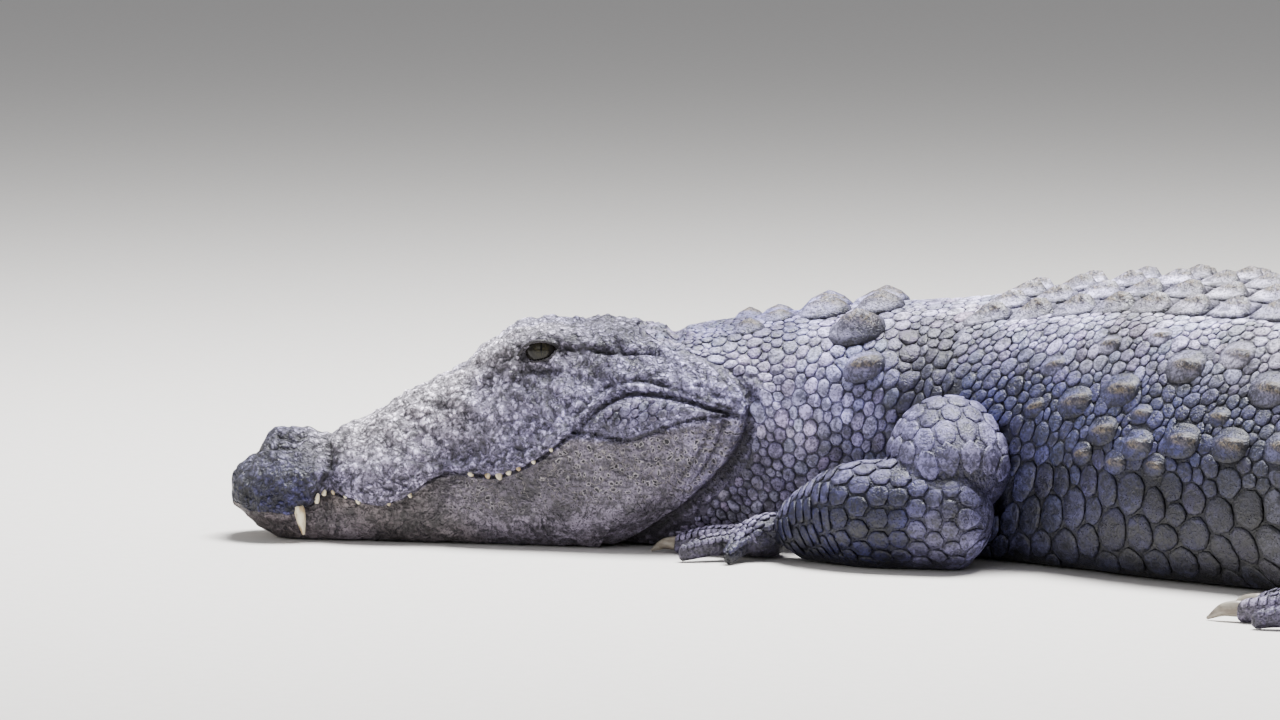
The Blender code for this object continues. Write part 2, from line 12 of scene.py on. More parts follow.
import bmesh
import bpy
import numpy as np
from mathutils import Matrix, Vector, noise
from mathutils.bvhtree import BVHTree
from mathutils.geometry import delaunay_2d_cdt
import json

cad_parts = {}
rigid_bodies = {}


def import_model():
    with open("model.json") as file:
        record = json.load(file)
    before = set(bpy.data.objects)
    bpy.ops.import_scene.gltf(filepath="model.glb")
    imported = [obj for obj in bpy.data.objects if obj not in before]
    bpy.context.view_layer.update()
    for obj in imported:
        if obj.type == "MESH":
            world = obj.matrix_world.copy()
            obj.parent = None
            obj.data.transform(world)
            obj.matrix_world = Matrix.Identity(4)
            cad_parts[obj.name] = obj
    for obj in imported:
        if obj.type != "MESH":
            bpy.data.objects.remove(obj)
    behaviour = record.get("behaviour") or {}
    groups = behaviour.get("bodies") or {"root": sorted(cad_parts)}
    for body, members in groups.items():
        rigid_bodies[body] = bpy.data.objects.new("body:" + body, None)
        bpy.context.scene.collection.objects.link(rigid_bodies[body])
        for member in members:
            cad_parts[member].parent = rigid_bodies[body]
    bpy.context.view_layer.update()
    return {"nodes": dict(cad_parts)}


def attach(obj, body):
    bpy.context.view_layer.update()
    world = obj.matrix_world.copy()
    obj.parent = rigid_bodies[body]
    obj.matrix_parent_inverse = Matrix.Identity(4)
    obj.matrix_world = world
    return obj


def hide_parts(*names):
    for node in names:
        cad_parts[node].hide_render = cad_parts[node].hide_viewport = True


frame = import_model()
chance = np.random.default_rng(7)

# %% [markdown]
# ## The body plan
#
# A crocodile's body is one long tube whose section changes slowly. Each section passes through seven points,
# from the midline of the back to the midline of the belly, and each point follows its own smooth profile
# along the spine. The same profiles shape the solids, so the skin lies just inside them.

# %% Smooth profiles along the body
def profile(*knots):
    """A smooth curve through knots of (place along the body, value), which never overshoots between them."""
    place, value = np.array(knots, float).T
    step = np.diff(place)
    slope = np.diff(value) / step
    lean = np.concatenate([slope[:1], np.zeros(len(slope) - 1), slope[-1:]])
    for i in range(1, len(slope)):
        if slope[i - 1] * slope[i] > 0:
            near, far = 2 * step[i] + step[i - 1], step[i] + 2 * step[i - 1]
            lean[i] = (near + far) / (near / slope[i - 1] + far / slope[i])

    def at(where):
        where = np.clip(where, place[0], place[-1])
        i = np.clip(np.searchsorted(place, where) - 1, 0, len(step) - 1)
        t = (where - place[i]) / step[i]
        start = (1 + 2 * t) * (1 - t) ** 2 * value[i] + t * (1 - t) ** 2 * step[i] * lean[i]
        end = t * t * (3 - 2 * t) * value[i + 1] + t * t * (t - 1) * step[i] * lean[i + 1]
        return start + end

    return at


print("a plain profile, a quarter of the way along:", float(profile((0, 0), (1, 1))(0.25)))

# %% The profiles, from the snout's tip (0) to the tail's tip
SIDES = ((1, "left"), (-1, "right"))
HIP, TAIL_TIP = 1.7, 3.65  # places along the spine, measured from the tip of the snout
ORIGIN = (-1.7384, -0.2752)  # where the snout's tip lies, which puts the origin under the middle of the model
EYE_PLACE = (0.3575, 0.0728, 0.2212)  # along the spine, sideways, up
EYE_RADIUS = 0.0195
MIDDLE = 0.165  # height at which a leaning ring of the head and neck reaches furthest back
HEADING = profile(  # which way the spine runs, in degrees from +X, seen from above
    (0, 27), (0.6, 26), (0.8, 16), (0.95, 9), (1.05, 2), (1.15, -7), (1.3, -15), (1.7, -20),
    (2.1, -19), (2.7, -4), (3.2, 10), (3.65, 22),
)
TOP = profile(  # midline of the back
    (0, 0.066), (0.008, 0.079), (0.022, 0.092), (0.045, 0.113), (0.062, 0.119), (0.095, 0.119), (0.12, 0.123),
    (0.15, 0.136), (0.18, 0.152), (0.235, 0.181), (0.275, 0.203), (0.31, 0.227), (0.34, 0.235), (0.4, 0.241),
    (0.46, 0.243), (0.585, 0.238), (0.61, 0.244), (0.68, 0.26), (0.75, 0.27), (0.86, 0.279), (0.92, 0.293),
    (1.0, 0.305), (1.12, 0.315), (1.3, 0.317), (1.5, 0.307), (1.7, 0.284), (1.9, 0.246), (2.2, 0.196),
    (2.6, 0.15), (3.0, 0.11), (3.4, 0.062), (3.6, 0.028), (3.65, 0.018),
)
CROWN_OUT = profile(  # edge of the snout's flat, of the skull table and of the shield on the back
    (0, 0.01), (0.02, 0.028), (0.06, 0.036), (0.115, 0.033), (0.17, 0.04), (0.24, 0.047), (0.3, 0.052),
    (0.34, 0.058), (0.38, 0.064), (0.5, 0.07), (0.585, 0.074), (0.7, 0.085), (0.8, 0.095), (1.0, 0.135),
    (1.2, 0.155), (1.5, 0.145), (1.7, 0.115), (1.9, 0.075), (2.2, 0.05), (2.6, 0.03), (3.0, 0.016),
    (3.65, 0.003),
)
CROWN_RISE = profile(  # how far that edge stands above the midline
    (0, -0.007), (0.06, -0.01), (0.17, -0.011), (0.27, -0.006), (0.31, 0.0), (0.345, 0.005), (0.4, 0.004),
    (0.55, 0.0), (0.66, -0.012), (0.8, -0.018), (1.0, -0.024), (1.2, -0.027), (1.5, -0.025),
    (1.75, -0.012), (1.9, -0.004), (2.6, -0.002), (3.65, -0.001),
)
CHEEK_OUT = profile(  # side of the upper jaw, then the upper flank
    (0, 0.016), (0.008, 0.035), (0.02, 0.049), (0.045, 0.063), (0.07, 0.067), (0.095, 0.064), (0.115, 0.056),
    (0.14, 0.069), (0.17, 0.079), (0.2, 0.082), (0.235, 0.082), (0.27, 0.093), (0.31, 0.106), (0.37, 0.121),
    (0.43, 0.134), (0.5, 0.146), (0.56, 0.153), (0.585, 0.147), (0.6, 0.134), (0.66, 0.14), (0.78, 0.165),
    (0.9, 0.2), (1.05, 0.232), (1.25, 0.248), (1.45, 0.24), (1.65, 0.208), (1.85, 0.165), (2.05, 0.128),
    (2.35, 0.094), (2.7, 0.068), (3.1, 0.042), (3.45, 0.02), (3.65, 0.005),
)
CHEEK_UP = profile(
    (0, 0.056), (0.07, 0.06), (0.115, 0.076), (0.17, 0.068), (0.23, 0.09), (0.3, 0.106), (0.37, 0.136),
    (0.42, 0.158), (0.5, 0.176), (0.585, 0.188), (0.7, 0.19), (0.85, 0.188), (1.05, 0.196), (1.4, 0.192),
    (1.7, 0.175), (2.0, 0.14), (2.6, 0.088), (3.2, 0.052), (3.65, 0.012),
)
LIP_OUT = profile(  # mouth line, then the widest line of the flank
    (0, 0.012), (0.008, 0.03), (0.02, 0.045), (0.045, 0.06), (0.07, 0.064), (0.095, 0.06), (0.115, 0.053),
    (0.14, 0.067), (0.17, 0.078), (0.2, 0.081), (0.235, 0.082), (0.27, 0.094), (0.31, 0.109), (0.37, 0.126),
    (0.43, 0.141), (0.5, 0.153), (0.555, 0.159), (0.585, 0.15), (0.6, 0.138), (0.66, 0.146), (0.78, 0.172),
    (0.9, 0.215), (1.05, 0.256), (1.25, 0.28), (1.45, 0.272), (1.65, 0.232), (1.85, 0.175), (2.05, 0.136),
    (2.35, 0.1), (2.7, 0.072), (3.1, 0.045), (3.45, 0.022), (3.65, 0.005),
)
LIP_UP = profile(
    (0, 0.045), (0.03, 0.037), (0.07, 0.033), (0.095, 0.042), (0.115, 0.057), (0.135, 0.052), (0.17, 0.045),
    (0.2, 0.053), (0.232, 0.074), (0.255, 0.084), (0.3, 0.081), (0.335, 0.092), (0.36, 0.106), (0.395, 0.131),
    (0.44, 0.127), (0.5, 0.142), (0.585, 0.156), (0.75, 0.14), (1.05, 0.135), (1.4, 0.132), (1.7, 0.122),
    (2.0, 0.098), (2.6, 0.06), (3.2, 0.036), (3.65, 0.009),
)
JAW_OUT = profile(  # lower jaw, then the belly's side
    (0, 0.006), (0.024, 0.026), (0.07, 0.05), (0.115, 0.058), (0.17, 0.072), (0.23, 0.086), (0.3, 0.105),
    (0.37, 0.125), (0.44, 0.141), (0.52, 0.15), (0.585, 0.14), (0.6, 0.132), (0.68, 0.142), (0.8, 0.176),
    (0.95, 0.228), (1.1, 0.27), (1.25, 0.286), (1.45, 0.276), (1.65, 0.232), (1.85, 0.174), (2.05, 0.13),
    (2.35, 0.093), (2.7, 0.067), (3.1, 0.042), (3.45, 0.02), (3.65, 0.004),
)
JAW_UP = profile(
    (0, 0.04), (0.024, 0.024), (0.07, 0.02), (0.17, 0.026), (0.3, 0.04), (0.44, 0.062), (0.585, 0.07),
    (0.8, 0.062), (1.4, 0.062), (1.9, 0.05), (2.6, 0.03), (3.2, 0.019), (3.65, 0.005),
)
SOLE_OUT = profile(  # edge of the flat that lies on the floor
    (0, 0.003), (0.024, 0.01), (0.07, 0.028), (0.17, 0.05), (0.3, 0.076), (0.44, 0.1), (0.585, 0.088),
    (0.7, 0.108), (0.85, 0.155), (1.05, 0.22), (1.25, 0.246), (1.45, 0.236), (1.7, 0.18), (1.9, 0.122),
    (2.35, 0.06), (2.85, 0.036), (3.3, 0.02), (3.65, 0.002),
)
KEEL = profile((0, 0.043), (0.012, 0.033), (0.024, 0.018), (0.04, 0.007), (0.065, 0), (3.6, 0), (3.65, 0.001))
LEAN = profile((0, 0), (0.4, 0), (0.585, 0.15), (0.74, 0), (3.65, 0))  # how far a ring leans at the throat
TOP_LEAN = 0.55  # the share of that lean at the back of the skull table
print("height of the back over the hips:", round(float(TOP(HIP)), 3), "m")

# %% The spine
SPINE_STEP = 0.005
_spots = np.arange(-0.2, TAIL_TIP + 0.2, SPINE_STEP)
_turns = np.radians(HEADING(_spots))
_run = np.cumsum(np.stack([np.cos(_turns), np.sin(_turns)], 1), 0) * SPINE_STEP
_run += np.array(ORIGIN) - _run[np.searchsorted(_spots, -1e-9)]


def place(along, out, up):
    """Turns (place along the spine, distance to the animal's left, height) into model coordinates."""
    along, out, up = np.broadcast_arrays(*(np.asarray(v, float) for v in (along, out, up)))
    turn = np.radians(HEADING(along))
    x = np.interp(along, _spots, _run[:, 0]) + out * np.sin(turn)
    y = np.interp(along, _spots, _run[:, 1]) - out * np.cos(turn)
    return np.stack([x, y, up], -1)


def section_knots(s):
    """The seven points of the left half of the section at s, as (out, up), top to bottom."""
    top = TOP(s)
    return np.array([
        (0, top), (CROWN_OUT(s), top + CROWN_RISE(s)), (CHEEK_OUT(s), CHEEK_UP(s)), (LIP_OUT(s), LIP_UP(s)),
        (JAW_OUT(s), JAW_UP(s)), (SOLE_OUT(s), KEEL(s)), (0, KEEL(s)),
    ])


print("length along the spine:", TAIL_TIP, "m")

# %% [markdown]
# ## One skin for the whole body
#
# A real hide has no seams, so the body is one grid of rings: 200 points round, closer together along the
# lips, and rings that stand 3 mm apart on the head, where folds and lids need them, and wider apart under the
# scales. The grid is first laid out flat, as (along, out, up), because the folds of the head are easiest to
# place there.

# %% Sections as dense as the skin needs
SPAN_STEPS = (14, 34, 22, 20, 7, 3)  # points between each knot of the section and the next
SPAN_PULL = (0, 0, 1, -1, 0, 0)  # 1 gathers them at the end of the span, -1 at its start
LIP = sum(SPAN_STEPS[:3])  # the mouth line is this point of each half ring


def span_marks(knot, count, pull):
    t = np.linspace(0, 1, count + 1)[1:]
    return knot + (1 - (1 - t) ** 1.8 if pull > 0 else t**1.8 if pull < 0 else t)


WHERE = np.concatenate([[0], *(span_marks(i, n, p) for i, (n, p) in enumerate(zip(SPAN_STEPS, SPAN_PULL)))])


def section(s, where):
    """Points of the left half section at s, as (out, up), at marks counted from the back's midline."""
    knots = section_knots(s)
    mirror = np.array([-1, 1])
    line = np.vstack([knots[1] * mirror, knots, knots[-2] * mirror])
    reach = np.concatenate([[0], np.cumsum(np.linalg.norm(np.diff(line, axis=0), axis=1) + 1e-6)])
    spots = np.interp(where, np.arange(7), reach[1:8])
    out = profile(*zip(reach, line[:, 0]))(spots)
    up = profile(*zip(reach, line[:, 1]))(spots)
    return np.maximum(out, 0), np.maximum(up, 0)


stations = np.concatenate([
    np.arange(0.006, 0.13, 0.0027), np.arange(0.13, 0.33, 0.0033), np.arange(0.33, 0.6, 0.0028),
    np.arange(0.6, 0.72, 0.006), np.arange(0.72, 0.83, 0.014), np.arange(0.83, 0.93, 0.005),
    np.arange(0.93, 1.9, 0.022), np.arange(1.9, TAIL_TIP - 0.01, 0.032), [TAIL_TIP],
])
half = np.empty((len(stations), len(WHERE), 3))
for ring, s in zip(half, stations):
    out, up = section(s, WHERE)
    low = np.clip((MIDDLE - up) / MIDDLE, 0, 1)
    high = np.clip((up - MIDDLE) / (TOP(s) - MIDDLE), 0, 1) if TOP(s) > MIDDLE + 0.02 else 0 * up
    ring[:] = np.stack([s - LEAN(s) * (low**2 + TOP_LEAN * high**2), out, up], 1)
OVERBITE = profile((0, 0.012), (0.024, 0.01), (0.07, 0.008), (0.115, 0.002), (0.17, 0.006), (0.24, 0.003),
                   (0.4, 0))
tuck = np.interp(WHERE, (2.999, 3, 3.02, 3.5, 4, 4.5, 5, 6), (0, 0.5, 1, 0.72, 0.46, 0.25, 0.09, 0))
half[:, :, 1] = np.maximum(half[:, :, 1] - OVERBITE(stations)[:, None] * tuck, 0)
outline = half.copy()  # the solids' own surface, before folds
print("rings:", len(stations), "points in a half ring:", len(WHERE), "triangles:",
      len(stations) * len(WHERE) * 4)

# %% [markdown]
# ## Folds and swellings of the head
#
# A crocodile's head is bone with skin stretched over it, so its detail is grooves and ridges: the wavy mouth
# line, the notch behind the snout's tip, the pad of scaly skin behind the corner of the mouth, the ear slit
# under the skull table. Sculpting could make them, but each one is a line on the side of the head with a
# depth and a width, so the skin is pushed along its normal by the sum of them.

# %% Tools for lines and noise
def line_gap(line, a, b):
    """Distance from points (a, b) to a line of points."""
    best = np.full(a.shape, 1e9)
    for (x0, y0), (x1, y1) in zip(line, line[1:]):
        dx, dy = x1 - x0, y1 - y0
        t = np.clip(((a - x0) * dx + (b - y0) * dy) / (dx * dx + dy * dy), 0, 1)
        best = np.minimum(best, np.hypot(a - x0 - t * dx, b - y0 - t * dy))
    return best


def lengths_along(points):
    """How far along a line of points each of them lies."""
    return np.concatenate([[0], np.cumsum(np.linalg.norm(np.diff(points, axis=0), axis=1))])


def girths(rings):
    """How far round its half ring each point lies."""
    reach = np.cumsum(np.linalg.norm(np.diff(rings, axis=1), axis=2), 1)
    return np.concatenate([np.zeros((len(rings), 1)), reach], 1)


def unit(vectors):
    return vectors / np.maximum(np.linalg.norm(vectors, axis=-1, keepdims=True), 1e-9)


def bell(distance, width):
    return np.exp(-((distance / width) ** 2))


def step(value, low, high):
    """Rises smoothly from 0 at low to 1 at high."""
    t = np.clip((value - low) / (high - low), 0, 1)
    return t * t * (3 - 2 * t)


def fade(value, low, high):
    """Falls smoothly from 1 at low to 0 at high."""
    return 1 - step(value, low, high)


def rough(points, size, octaves=3):
    """Smooth noise, mostly from -1 to 1, with features about as large as size."""
    flat = [noise.fractal(Vector(p), 0.9, 2.1, octaves) for p in points.reshape(-1, 3) / size]
    return np.array(flat).reshape(points.shape[:-1])


def cracks(points, size):
    """0 on the cracks of a cracked ground whose cells are about as large as size, and up to 1 in a cell."""
    found = [noise.voronoi(Vector(p))[0] for p in points.reshape(-1, 3) / size]
    return np.array([near[1] - near[0] for near in found]).reshape(points.shape[:-1])


def flat_normals(rings):
    """Outward normals of the left half of the grid."""
    turn = np.array([1, -1, 1])
    wide = np.concatenate([rings[:, 1:2] * turn, rings, rings[:, -2:-1] * turn], 1)
    return unit(np.cross(np.gradient(rings, axis=0), wide[:, 2:] - wide[:, :-2]))


def ring_faces(rings, sides, tips=True, flip=False):
    """Faces between rings of points numbered in turn, with fans to the two tips numbered after them."""
    index = np.arange(rings * sides).reshape(rings, sides)
    nxt = np.roll(index, -1, axis=1)
    quads = np.stack([index[:-1], index[1:], nxt[1:], nxt[:-1]], -1).reshape(-1, 4)
    fans = [(rings * sides, a, b) for a, b in zip(index[0], nxt[0])] if tips else []
    fans += [(rings * sides + 1, b, a) for a, b in zip(index[-1], nxt[-1])] if tips else []
    if flip:
        return quads[:, [0, 3, 2, 1]].tolist() + [(tip, b, a) for tip, a, b in fans]
    return quads.tolist() + fans


print("tools ready")

# %% The lines, as (along, up) on the side of the head
PAD_TOP = ((0.396, 0.134), (0.405, 0.145), (0.418, 0.158), (0.435, 0.17), (0.452, 0.178), (0.469, 0.18),
           (0.488, 0.179), (0.509, 0.176), (0.531, 0.17), (0.552, 0.163), (0.575, 0.157))
FOLD_TOP = ((0.398, 0.152), (0.413, 0.1715), (0.43, 0.186), (0.4475, 0.192), (0.469, 0.194), (0.49, 0.19),
            (0.511, 0.184), (0.5325, 0.178), (0.554, 0.17), (0.573, 0.164))
PAD_FOOT = ((0.379, 0.1225), (0.392, 0.1335), (0.405, 0.1345), (0.422, 0.1325), (0.439, 0.1285),
            (0.456, 0.1265), (0.473, 0.1325), (0.494, 0.1405), (0.5155, 0.1485), (0.537, 0.1535),
            (0.5625, 0.1555), (0.584, 0.1565))
EAR = ((0.379, 0.2235), (0.386, 0.2255), (0.405, 0.2265), (0.422, 0.2238), (0.439, 0.2225), (0.469, 0.222),
       (0.492, 0.2235))
TABLE_EDGE = ((0.385, 0.232), (0.396, 0.229), (0.412, 0.2275), (0.428, 0.2335), (0.443, 0.237),
              (0.466, 0.237), (0.482, 0.235), (0.494, 0.229))
BROW = ((0.306, 0.214), (0.325, 0.227), (0.345, 0.2405), (0.366, 0.243), (0.386, 0.236))
NOTCH = ((0.0905, 0.04), (0.1, 0.049), (0.108, 0.062), (0.113, 0.075), (0.1165, 0.09), (0.1165, 0.106))
EYE_OPENING = ((0.3275, 0.2095), (0.3335, 0.219), (0.339, 0.2265), (0.346, 0.2312), (0.354, 0.2332),
               (0.363, 0.2328), (0.371, 0.2296), (0.377, 0.225), (0.3735, 0.2182), (0.366, 0.213),
               (0.354, 0.2098), (0.341, 0.2086), (0.3275, 0.2095))
NOSTRIL = ((0.057, 0.017), (0.062, 0.0235), (0.07, 0.0265), (0.079, 0.025), (0.086, 0.0195))  # (along, out)
CANTHUS = ((0.335, 0.056), (0.29, 0.044), (0.24, 0.03), (0.19, 0.024))  # (along, out): ridge before the eye
WRINKLES = (  # short folds before and under the eye, and behind the jaw's corner
    (((0.296, 0.192), (0.318, 0.203)), 0.002), (((0.3, 0.203), (0.324, 0.213)), 0.0022),
    (((0.33, 0.1985), (0.352, 0.1965), (0.378, 0.202)), 0.0022), (((0.325, 0.19), (0.35, 0.187)), 0.0015),
    (((0.566, 0.15), (0.558, 0.12), (0.54, 0.09)), 0.0025),
    (((0.55, 0.14), (0.538, 0.115), (0.52, 0.09)), 0.0018),
    (((0.575, 0.185), (0.56, 0.205), (0.545, 0.218)), 0.002),
)
BULGES = (  # (along, up, size, height): over the biggest teeth, the hollow before the eye, the cheek
    (0.205, 0.082, 0.022, 0.0045), (0.256, 0.122, 0.018, -0.0045), (0.318, 0.118, 0.026, 0.0055),
    (0.292, 0.178, 0.017, -0.005), (0.345, 0.172, 0.018, 0.0035), (0.405, 0.2, 0.014, -0.0035),
    (0.45, 0.208, 0.014, 0.003),
)
print("lines on the head:", 10 + len(WRINKLES))

# %% What pushes the skin out and in
normals = flat_normals(half)
A, O, Z = outline.transpose(2, 0, 1)
flank, upward = np.clip(normals[..., 1] * 1.6, 0, 1), np.clip(normals[..., 2] * 1.4, 0, 1)
girth = girths(half)
below_lip = girth - girth[:, LIP : LIP + 1]
S = np.broadcast_to(stations[:, None], A.shape)
crease = np.zeros(A.shape)  # painted shade on each point, in folds and hollows
push = np.zeros(A.shape)


def fold(distance, width, depth, mask=1.0, stain_and_shade=1.0):
    """Cuts a groove and paints shade into it; the last argument sets how dark that painted shade is."""
    global push, crease
    cut = bell(distance, width) * mask
    push = push - depth * cut
    crease = np.maximum(crease, stain_and_shade * cut)
print("rings and points pushed:", push.shape)

# %% Mouth line, pad, ear, brow and folds
head_side = flank * fade(S, 0.6, 0.63)
mouth = step(S, 0.004, 0.01) * fade(S, 0.38, 0.396)
fold(below_lip - 0.0005, 0.0021, 0.0062, mouth)
push += mouth * (0.0024 * bell(below_lip + 0.0095, 0.006) - 0.0012 * bell(below_lip - 0.006, 0.004))
gums = 0.5 + 0.5 * np.cos(S * 2 * np.pi / 0.026)
push += (mouth * 0.003 * (gums - 0.35) * bell(below_lip + 0.011, 0.009) * step(S, 0.2, 0.25)
         * fade(S, 0.34, 0.38))
push += (mouth * 0.0044 * (gums - 0.3) * bell(below_lip - 0.014, 0.011) * step(S, 0.12, 0.16)
         * fade(S, 0.3, 0.36))
for line, width, depth in ((PAD_TOP, 0.0034, 0.0062), (FOLD_TOP, 0.0028, 0.003), (PAD_FOOT, 0.0028, 0.0032),
                           (EAR, 0.0022, 0.005), (NOTCH, 0.0038, 0.005)):
    fold(line_gap(line, A, Z), width, depth, head_side * fade(S, 0.572, 0.594))
push += 0.005 * bell(np.hypot((A - 0.462) / 2.6, Z - 0.2295), 0.0068) * head_side
for line, depth in WRINKLES:
    fold(line_gap(line, A, Z), 0.0026, depth * 1.6, head_side, 0.9)
top_of_pad, foot_of_pad = (np.interp(A, *np.array(line).T) for line in (PAD_TOP, PAD_FOOT))
t = np.clip((Z - foot_of_pad) / (top_of_pad - foot_of_pad), 0, 1)
push += 0.006 * 4 * t * (1 - t) * step(A, 0.395, 0.43) * fade(A, 0.565, 0.6) * head_side
roll = np.clip((Z - top_of_pad) / 0.012, 0, 1)
push += 0.0028 * 4 * roll * (1 - roll) * step(A, 0.4, 0.42) * fade(A, 0.55, 0.575) * head_side
push += 0.004 * bell(line_gap(TABLE_EDGE, A, Z), 0.005) * head_side
for spot, out_, high in ((0.428, 0.045, 0.006), (0.469, 0.05, 0.005), (0.492, 0.038, 0.005),
                         (0.398, 0.04, 0.004)):
    push += high * bell(np.hypot(A - spot, O - out_), 0.011) * upward
push += 0.0062 * bell(line_gap(BROW, A, Z), 0.0055) * np.maximum(head_side, upward) * (S < 0.45)
fold(S - 0.597, 0.0062, 0.007, step(WHERE, 1.4, 2.0) * fade(WHERE, 4.9, 5.3), 1.0)
fold(A - 0.509, 0.007, 0.012, fade(WHERE, 0.9, 1.6) * (S < 0.7), 0.5)
fold(S - 0.632, 0.007, 0.0032, step(WHERE, 0.9, 1.6) * fade(WHERE, 4.6, 5.2), 0.3)
for spot, deep in ((0.8, 0.004), (0.817, 0.006), (0.834, 0.0055), (0.856, 0.0035)):  # folds by the shoulder
    bent = A - spot - 0.01 * np.sin(Z * 22) + 0.1 * (0.24 - Z).clip(0)
    fold(bent, 0.006, deep * 1.4, step(WHERE, 0.7, 1.2) * fade(WHERE, 4.2, 4.9), 0.8)
disc = np.hypot((A - 0.072) / 0.033, O / 0.03)
push += (0.005 * fade(disc, 0.6, 1.04) + 0.002 * (1 - disc**2).clip(0)) * (S < 0.16) * upward
fold(line_gap(NOSTRIL, A, O), 0.003, 0.0055, upward * (S < 0.12))
fold((disc - 1.32) * 0.031, 0.0034, 0.0036, upward * (S < 0.16), 0.9)
for spot, up_, wide, high in BULGES:
    push += high * bell(np.hypot((A - spot) / 1.5, Z - up_), wide) * head_side
push += 0.0012 * bell(line_gap(NOSTRIL, A, O) - 0.0045, 0.0022) * upward * (S < 0.12)
push += 0.003 * bell(line_gap(CANTHUS, A, O), 0.0075) * upward * (S < 0.4)
print("deepest fold:", round(float(push.min()) * 1000, 1), "mm; highest swelling:",
      round(float(push.max()) * 1000, 1))

# %% The roughness of skin on bone
on_head = S < 0.62
spots = outline[on_head]
lumps = np.zeros(A.shape)
lumps[on_head] = 0.0029 * rough(spots, 0.03) + 0.0024 * rough(spots + 3, 0.0105, 2)
on_fold = step(Z - foot_of_pad, -0.002, 0.004) * fade(Z - top_of_pad, 0.011, 0.017)
calm = 1 - 0.88 * on_fold * step(A, 0.398, 0.425) * fade(A, 0.565, 0.6) * head_side  # smoother on the pad
knobs = np.zeros(A.shape)
knobs[on_head] = np.clip(cracks(spots, 0.017), 0, 0.5) - 0.2
upper = (below_lip < -0.006) * fade(S, 0.58, 0.62)
push += (calm * (lumps * (1 - 0.5 * (below_lip > 0))
                 + 0.0075 * knobs * upper * step(S, 0.1, 0.22) * (1 - bell(disc, 0.8))))
# painted shade in the hollows between the lumps and knobs of the head
valley = calm * (0.62 * step(-lumps, 0.0004, 0.0034) + 0.45 * fade(knobs + 0.2, 0.0, 0.13))
crease = np.maximum(crease, valley * upper * step(S, 0.06, 0.16))
crease = np.maximum(crease, 0.55 * (1 - calm) * (t > 0) * (t < 1))  # painted shade between the pad's scales
throat = np.zeros(A.shape)
throat[on_head] = cracks(spots * (0.55, 1.0, 1.6), 0.02)
lower = step(below_lip, 0.006, 0.014) * fade(S, 0.56, 0.6)
fold(throat, 0.07, 0.0011, lower, 0.34)
half += normals * push[..., None]
print("points roughened:", int(on_head.sum()))

# %% [markdown]
# ## Sockets and lids
#
# The eyeball is a ball set in the side of the head, and the lids are skin stretched over it. Skin near the
# ball is lifted clear of it, and inside the opening it goes under the ball. A lid's own rim is added later as
# a thin roll.

# %% Lift the skin over the eyeball and open it
def inside_gap(line, a, b):
    """Distance to a closed line, negative inside it."""
    gap = line_gap(line, a, b)
    turns = np.zeros(a.shape, bool)
    for (x0, y0), (x1, y1) in zip(line, line[1:]):
        hit = ((y0 > b) != (y1 > b)) & (a < (x1 - x0) * (b - y0) / (y1 - y0 + 1e-12) + x0)
        turns ^= hit
    return np.where(turns, -gap, gap)


ball = np.array(EYE_PLACE)
ray = half - ball
reach = np.linalg.norm(ray, axis=2)
near_eye = (reach < 0.055) & (half[..., 1] > ball[1] - 0.012)
lid = EYE_RADIUS + 0.004
cover = lid + np.maximum(reach - lid, 0) * step(reach, lid, lid + 0.016)
lifted = np.where(near_eye & (reach < lid + 0.016), np.maximum(cover, reach * 0.86), reach)
moved = ball + ray * (lifted / np.maximum(reach, 1e-9))[..., None]
opening = inside_gap(EYE_OPENING, moved[..., 0], moved[..., 2])
lifted = np.where(near_eye, lifted - 0.0026 * bell(opening - 0.007, 0.0018) * (half[..., 2] > 0.216), lifted)
sunk = np.where(reach > EYE_RADIUS + 0.006, lifted - 0.0045, EYE_RADIUS - 0.003)
within = fade(opening, -0.0016, 0.0008)
lifted = np.where(near_eye, lifted * (1 - within) + sunk * within, lifted)
half = ball + ray * (lifted / np.maximum(reach, 1e-9))[..., None]
# painted shade inside the eye's opening and in the crease over the upper lid
crease = np.maximum(crease, near_eye * np.maximum(within, 0.9 * bell(opening - 0.0068, 0.0016) * (Z > 0.216)))
print("skin points in the eye's opening:", int((near_eye & (opening < 0)).sum()))

# %% Set the skin inside the coat
def coat_edge(where):
    """The ring where scales begin: just behind the skull on top, behind the jaw's corner on the side."""
    return np.interp(where, (0.0, 1.1, 1.9), (0.516, 0.545, 0.604))


# How far the skin lies under the solids' surface, under scales and under shields.
COAT, BACK_COAT = 0.003, 0.0095
depth = 0.0008 + (COAT - 0.0008) * step(S - coat_edge(WHERE), -0.008, 0.008)
depth = depth + (BACK_COAT - COAT) * step(S, 0.87, 0.93) * fade(S, 1.9, 2.2) * fade(WHERE, 0.9, 1.4)
half -= (flat_normals(half)
         * np.minimum(depth, outline[..., 1].max(1, keepdims=True) * 0.3 + 0.0006)[..., None])
half[..., 1] = np.maximum(half[..., 1], 0)
half[:, [0, -1], 1] = 0
half[..., 2] = np.maximum(half[..., 2], 0)
print("skin's height:", round(float(half[..., 2].max()), 4))

# %% [markdown]
# ## Limbs
#
# Each limb is a few tubes that swell where the muscle is: upper arm, forearm, palm and digits. They could be
# one sculpt, but tubes through named joints are easy to pose. A voxel remesh melts them into one skin, a
# little smoothing rounds the places where they meet, and Decimate takes out the points that the flat parts
# don't need.

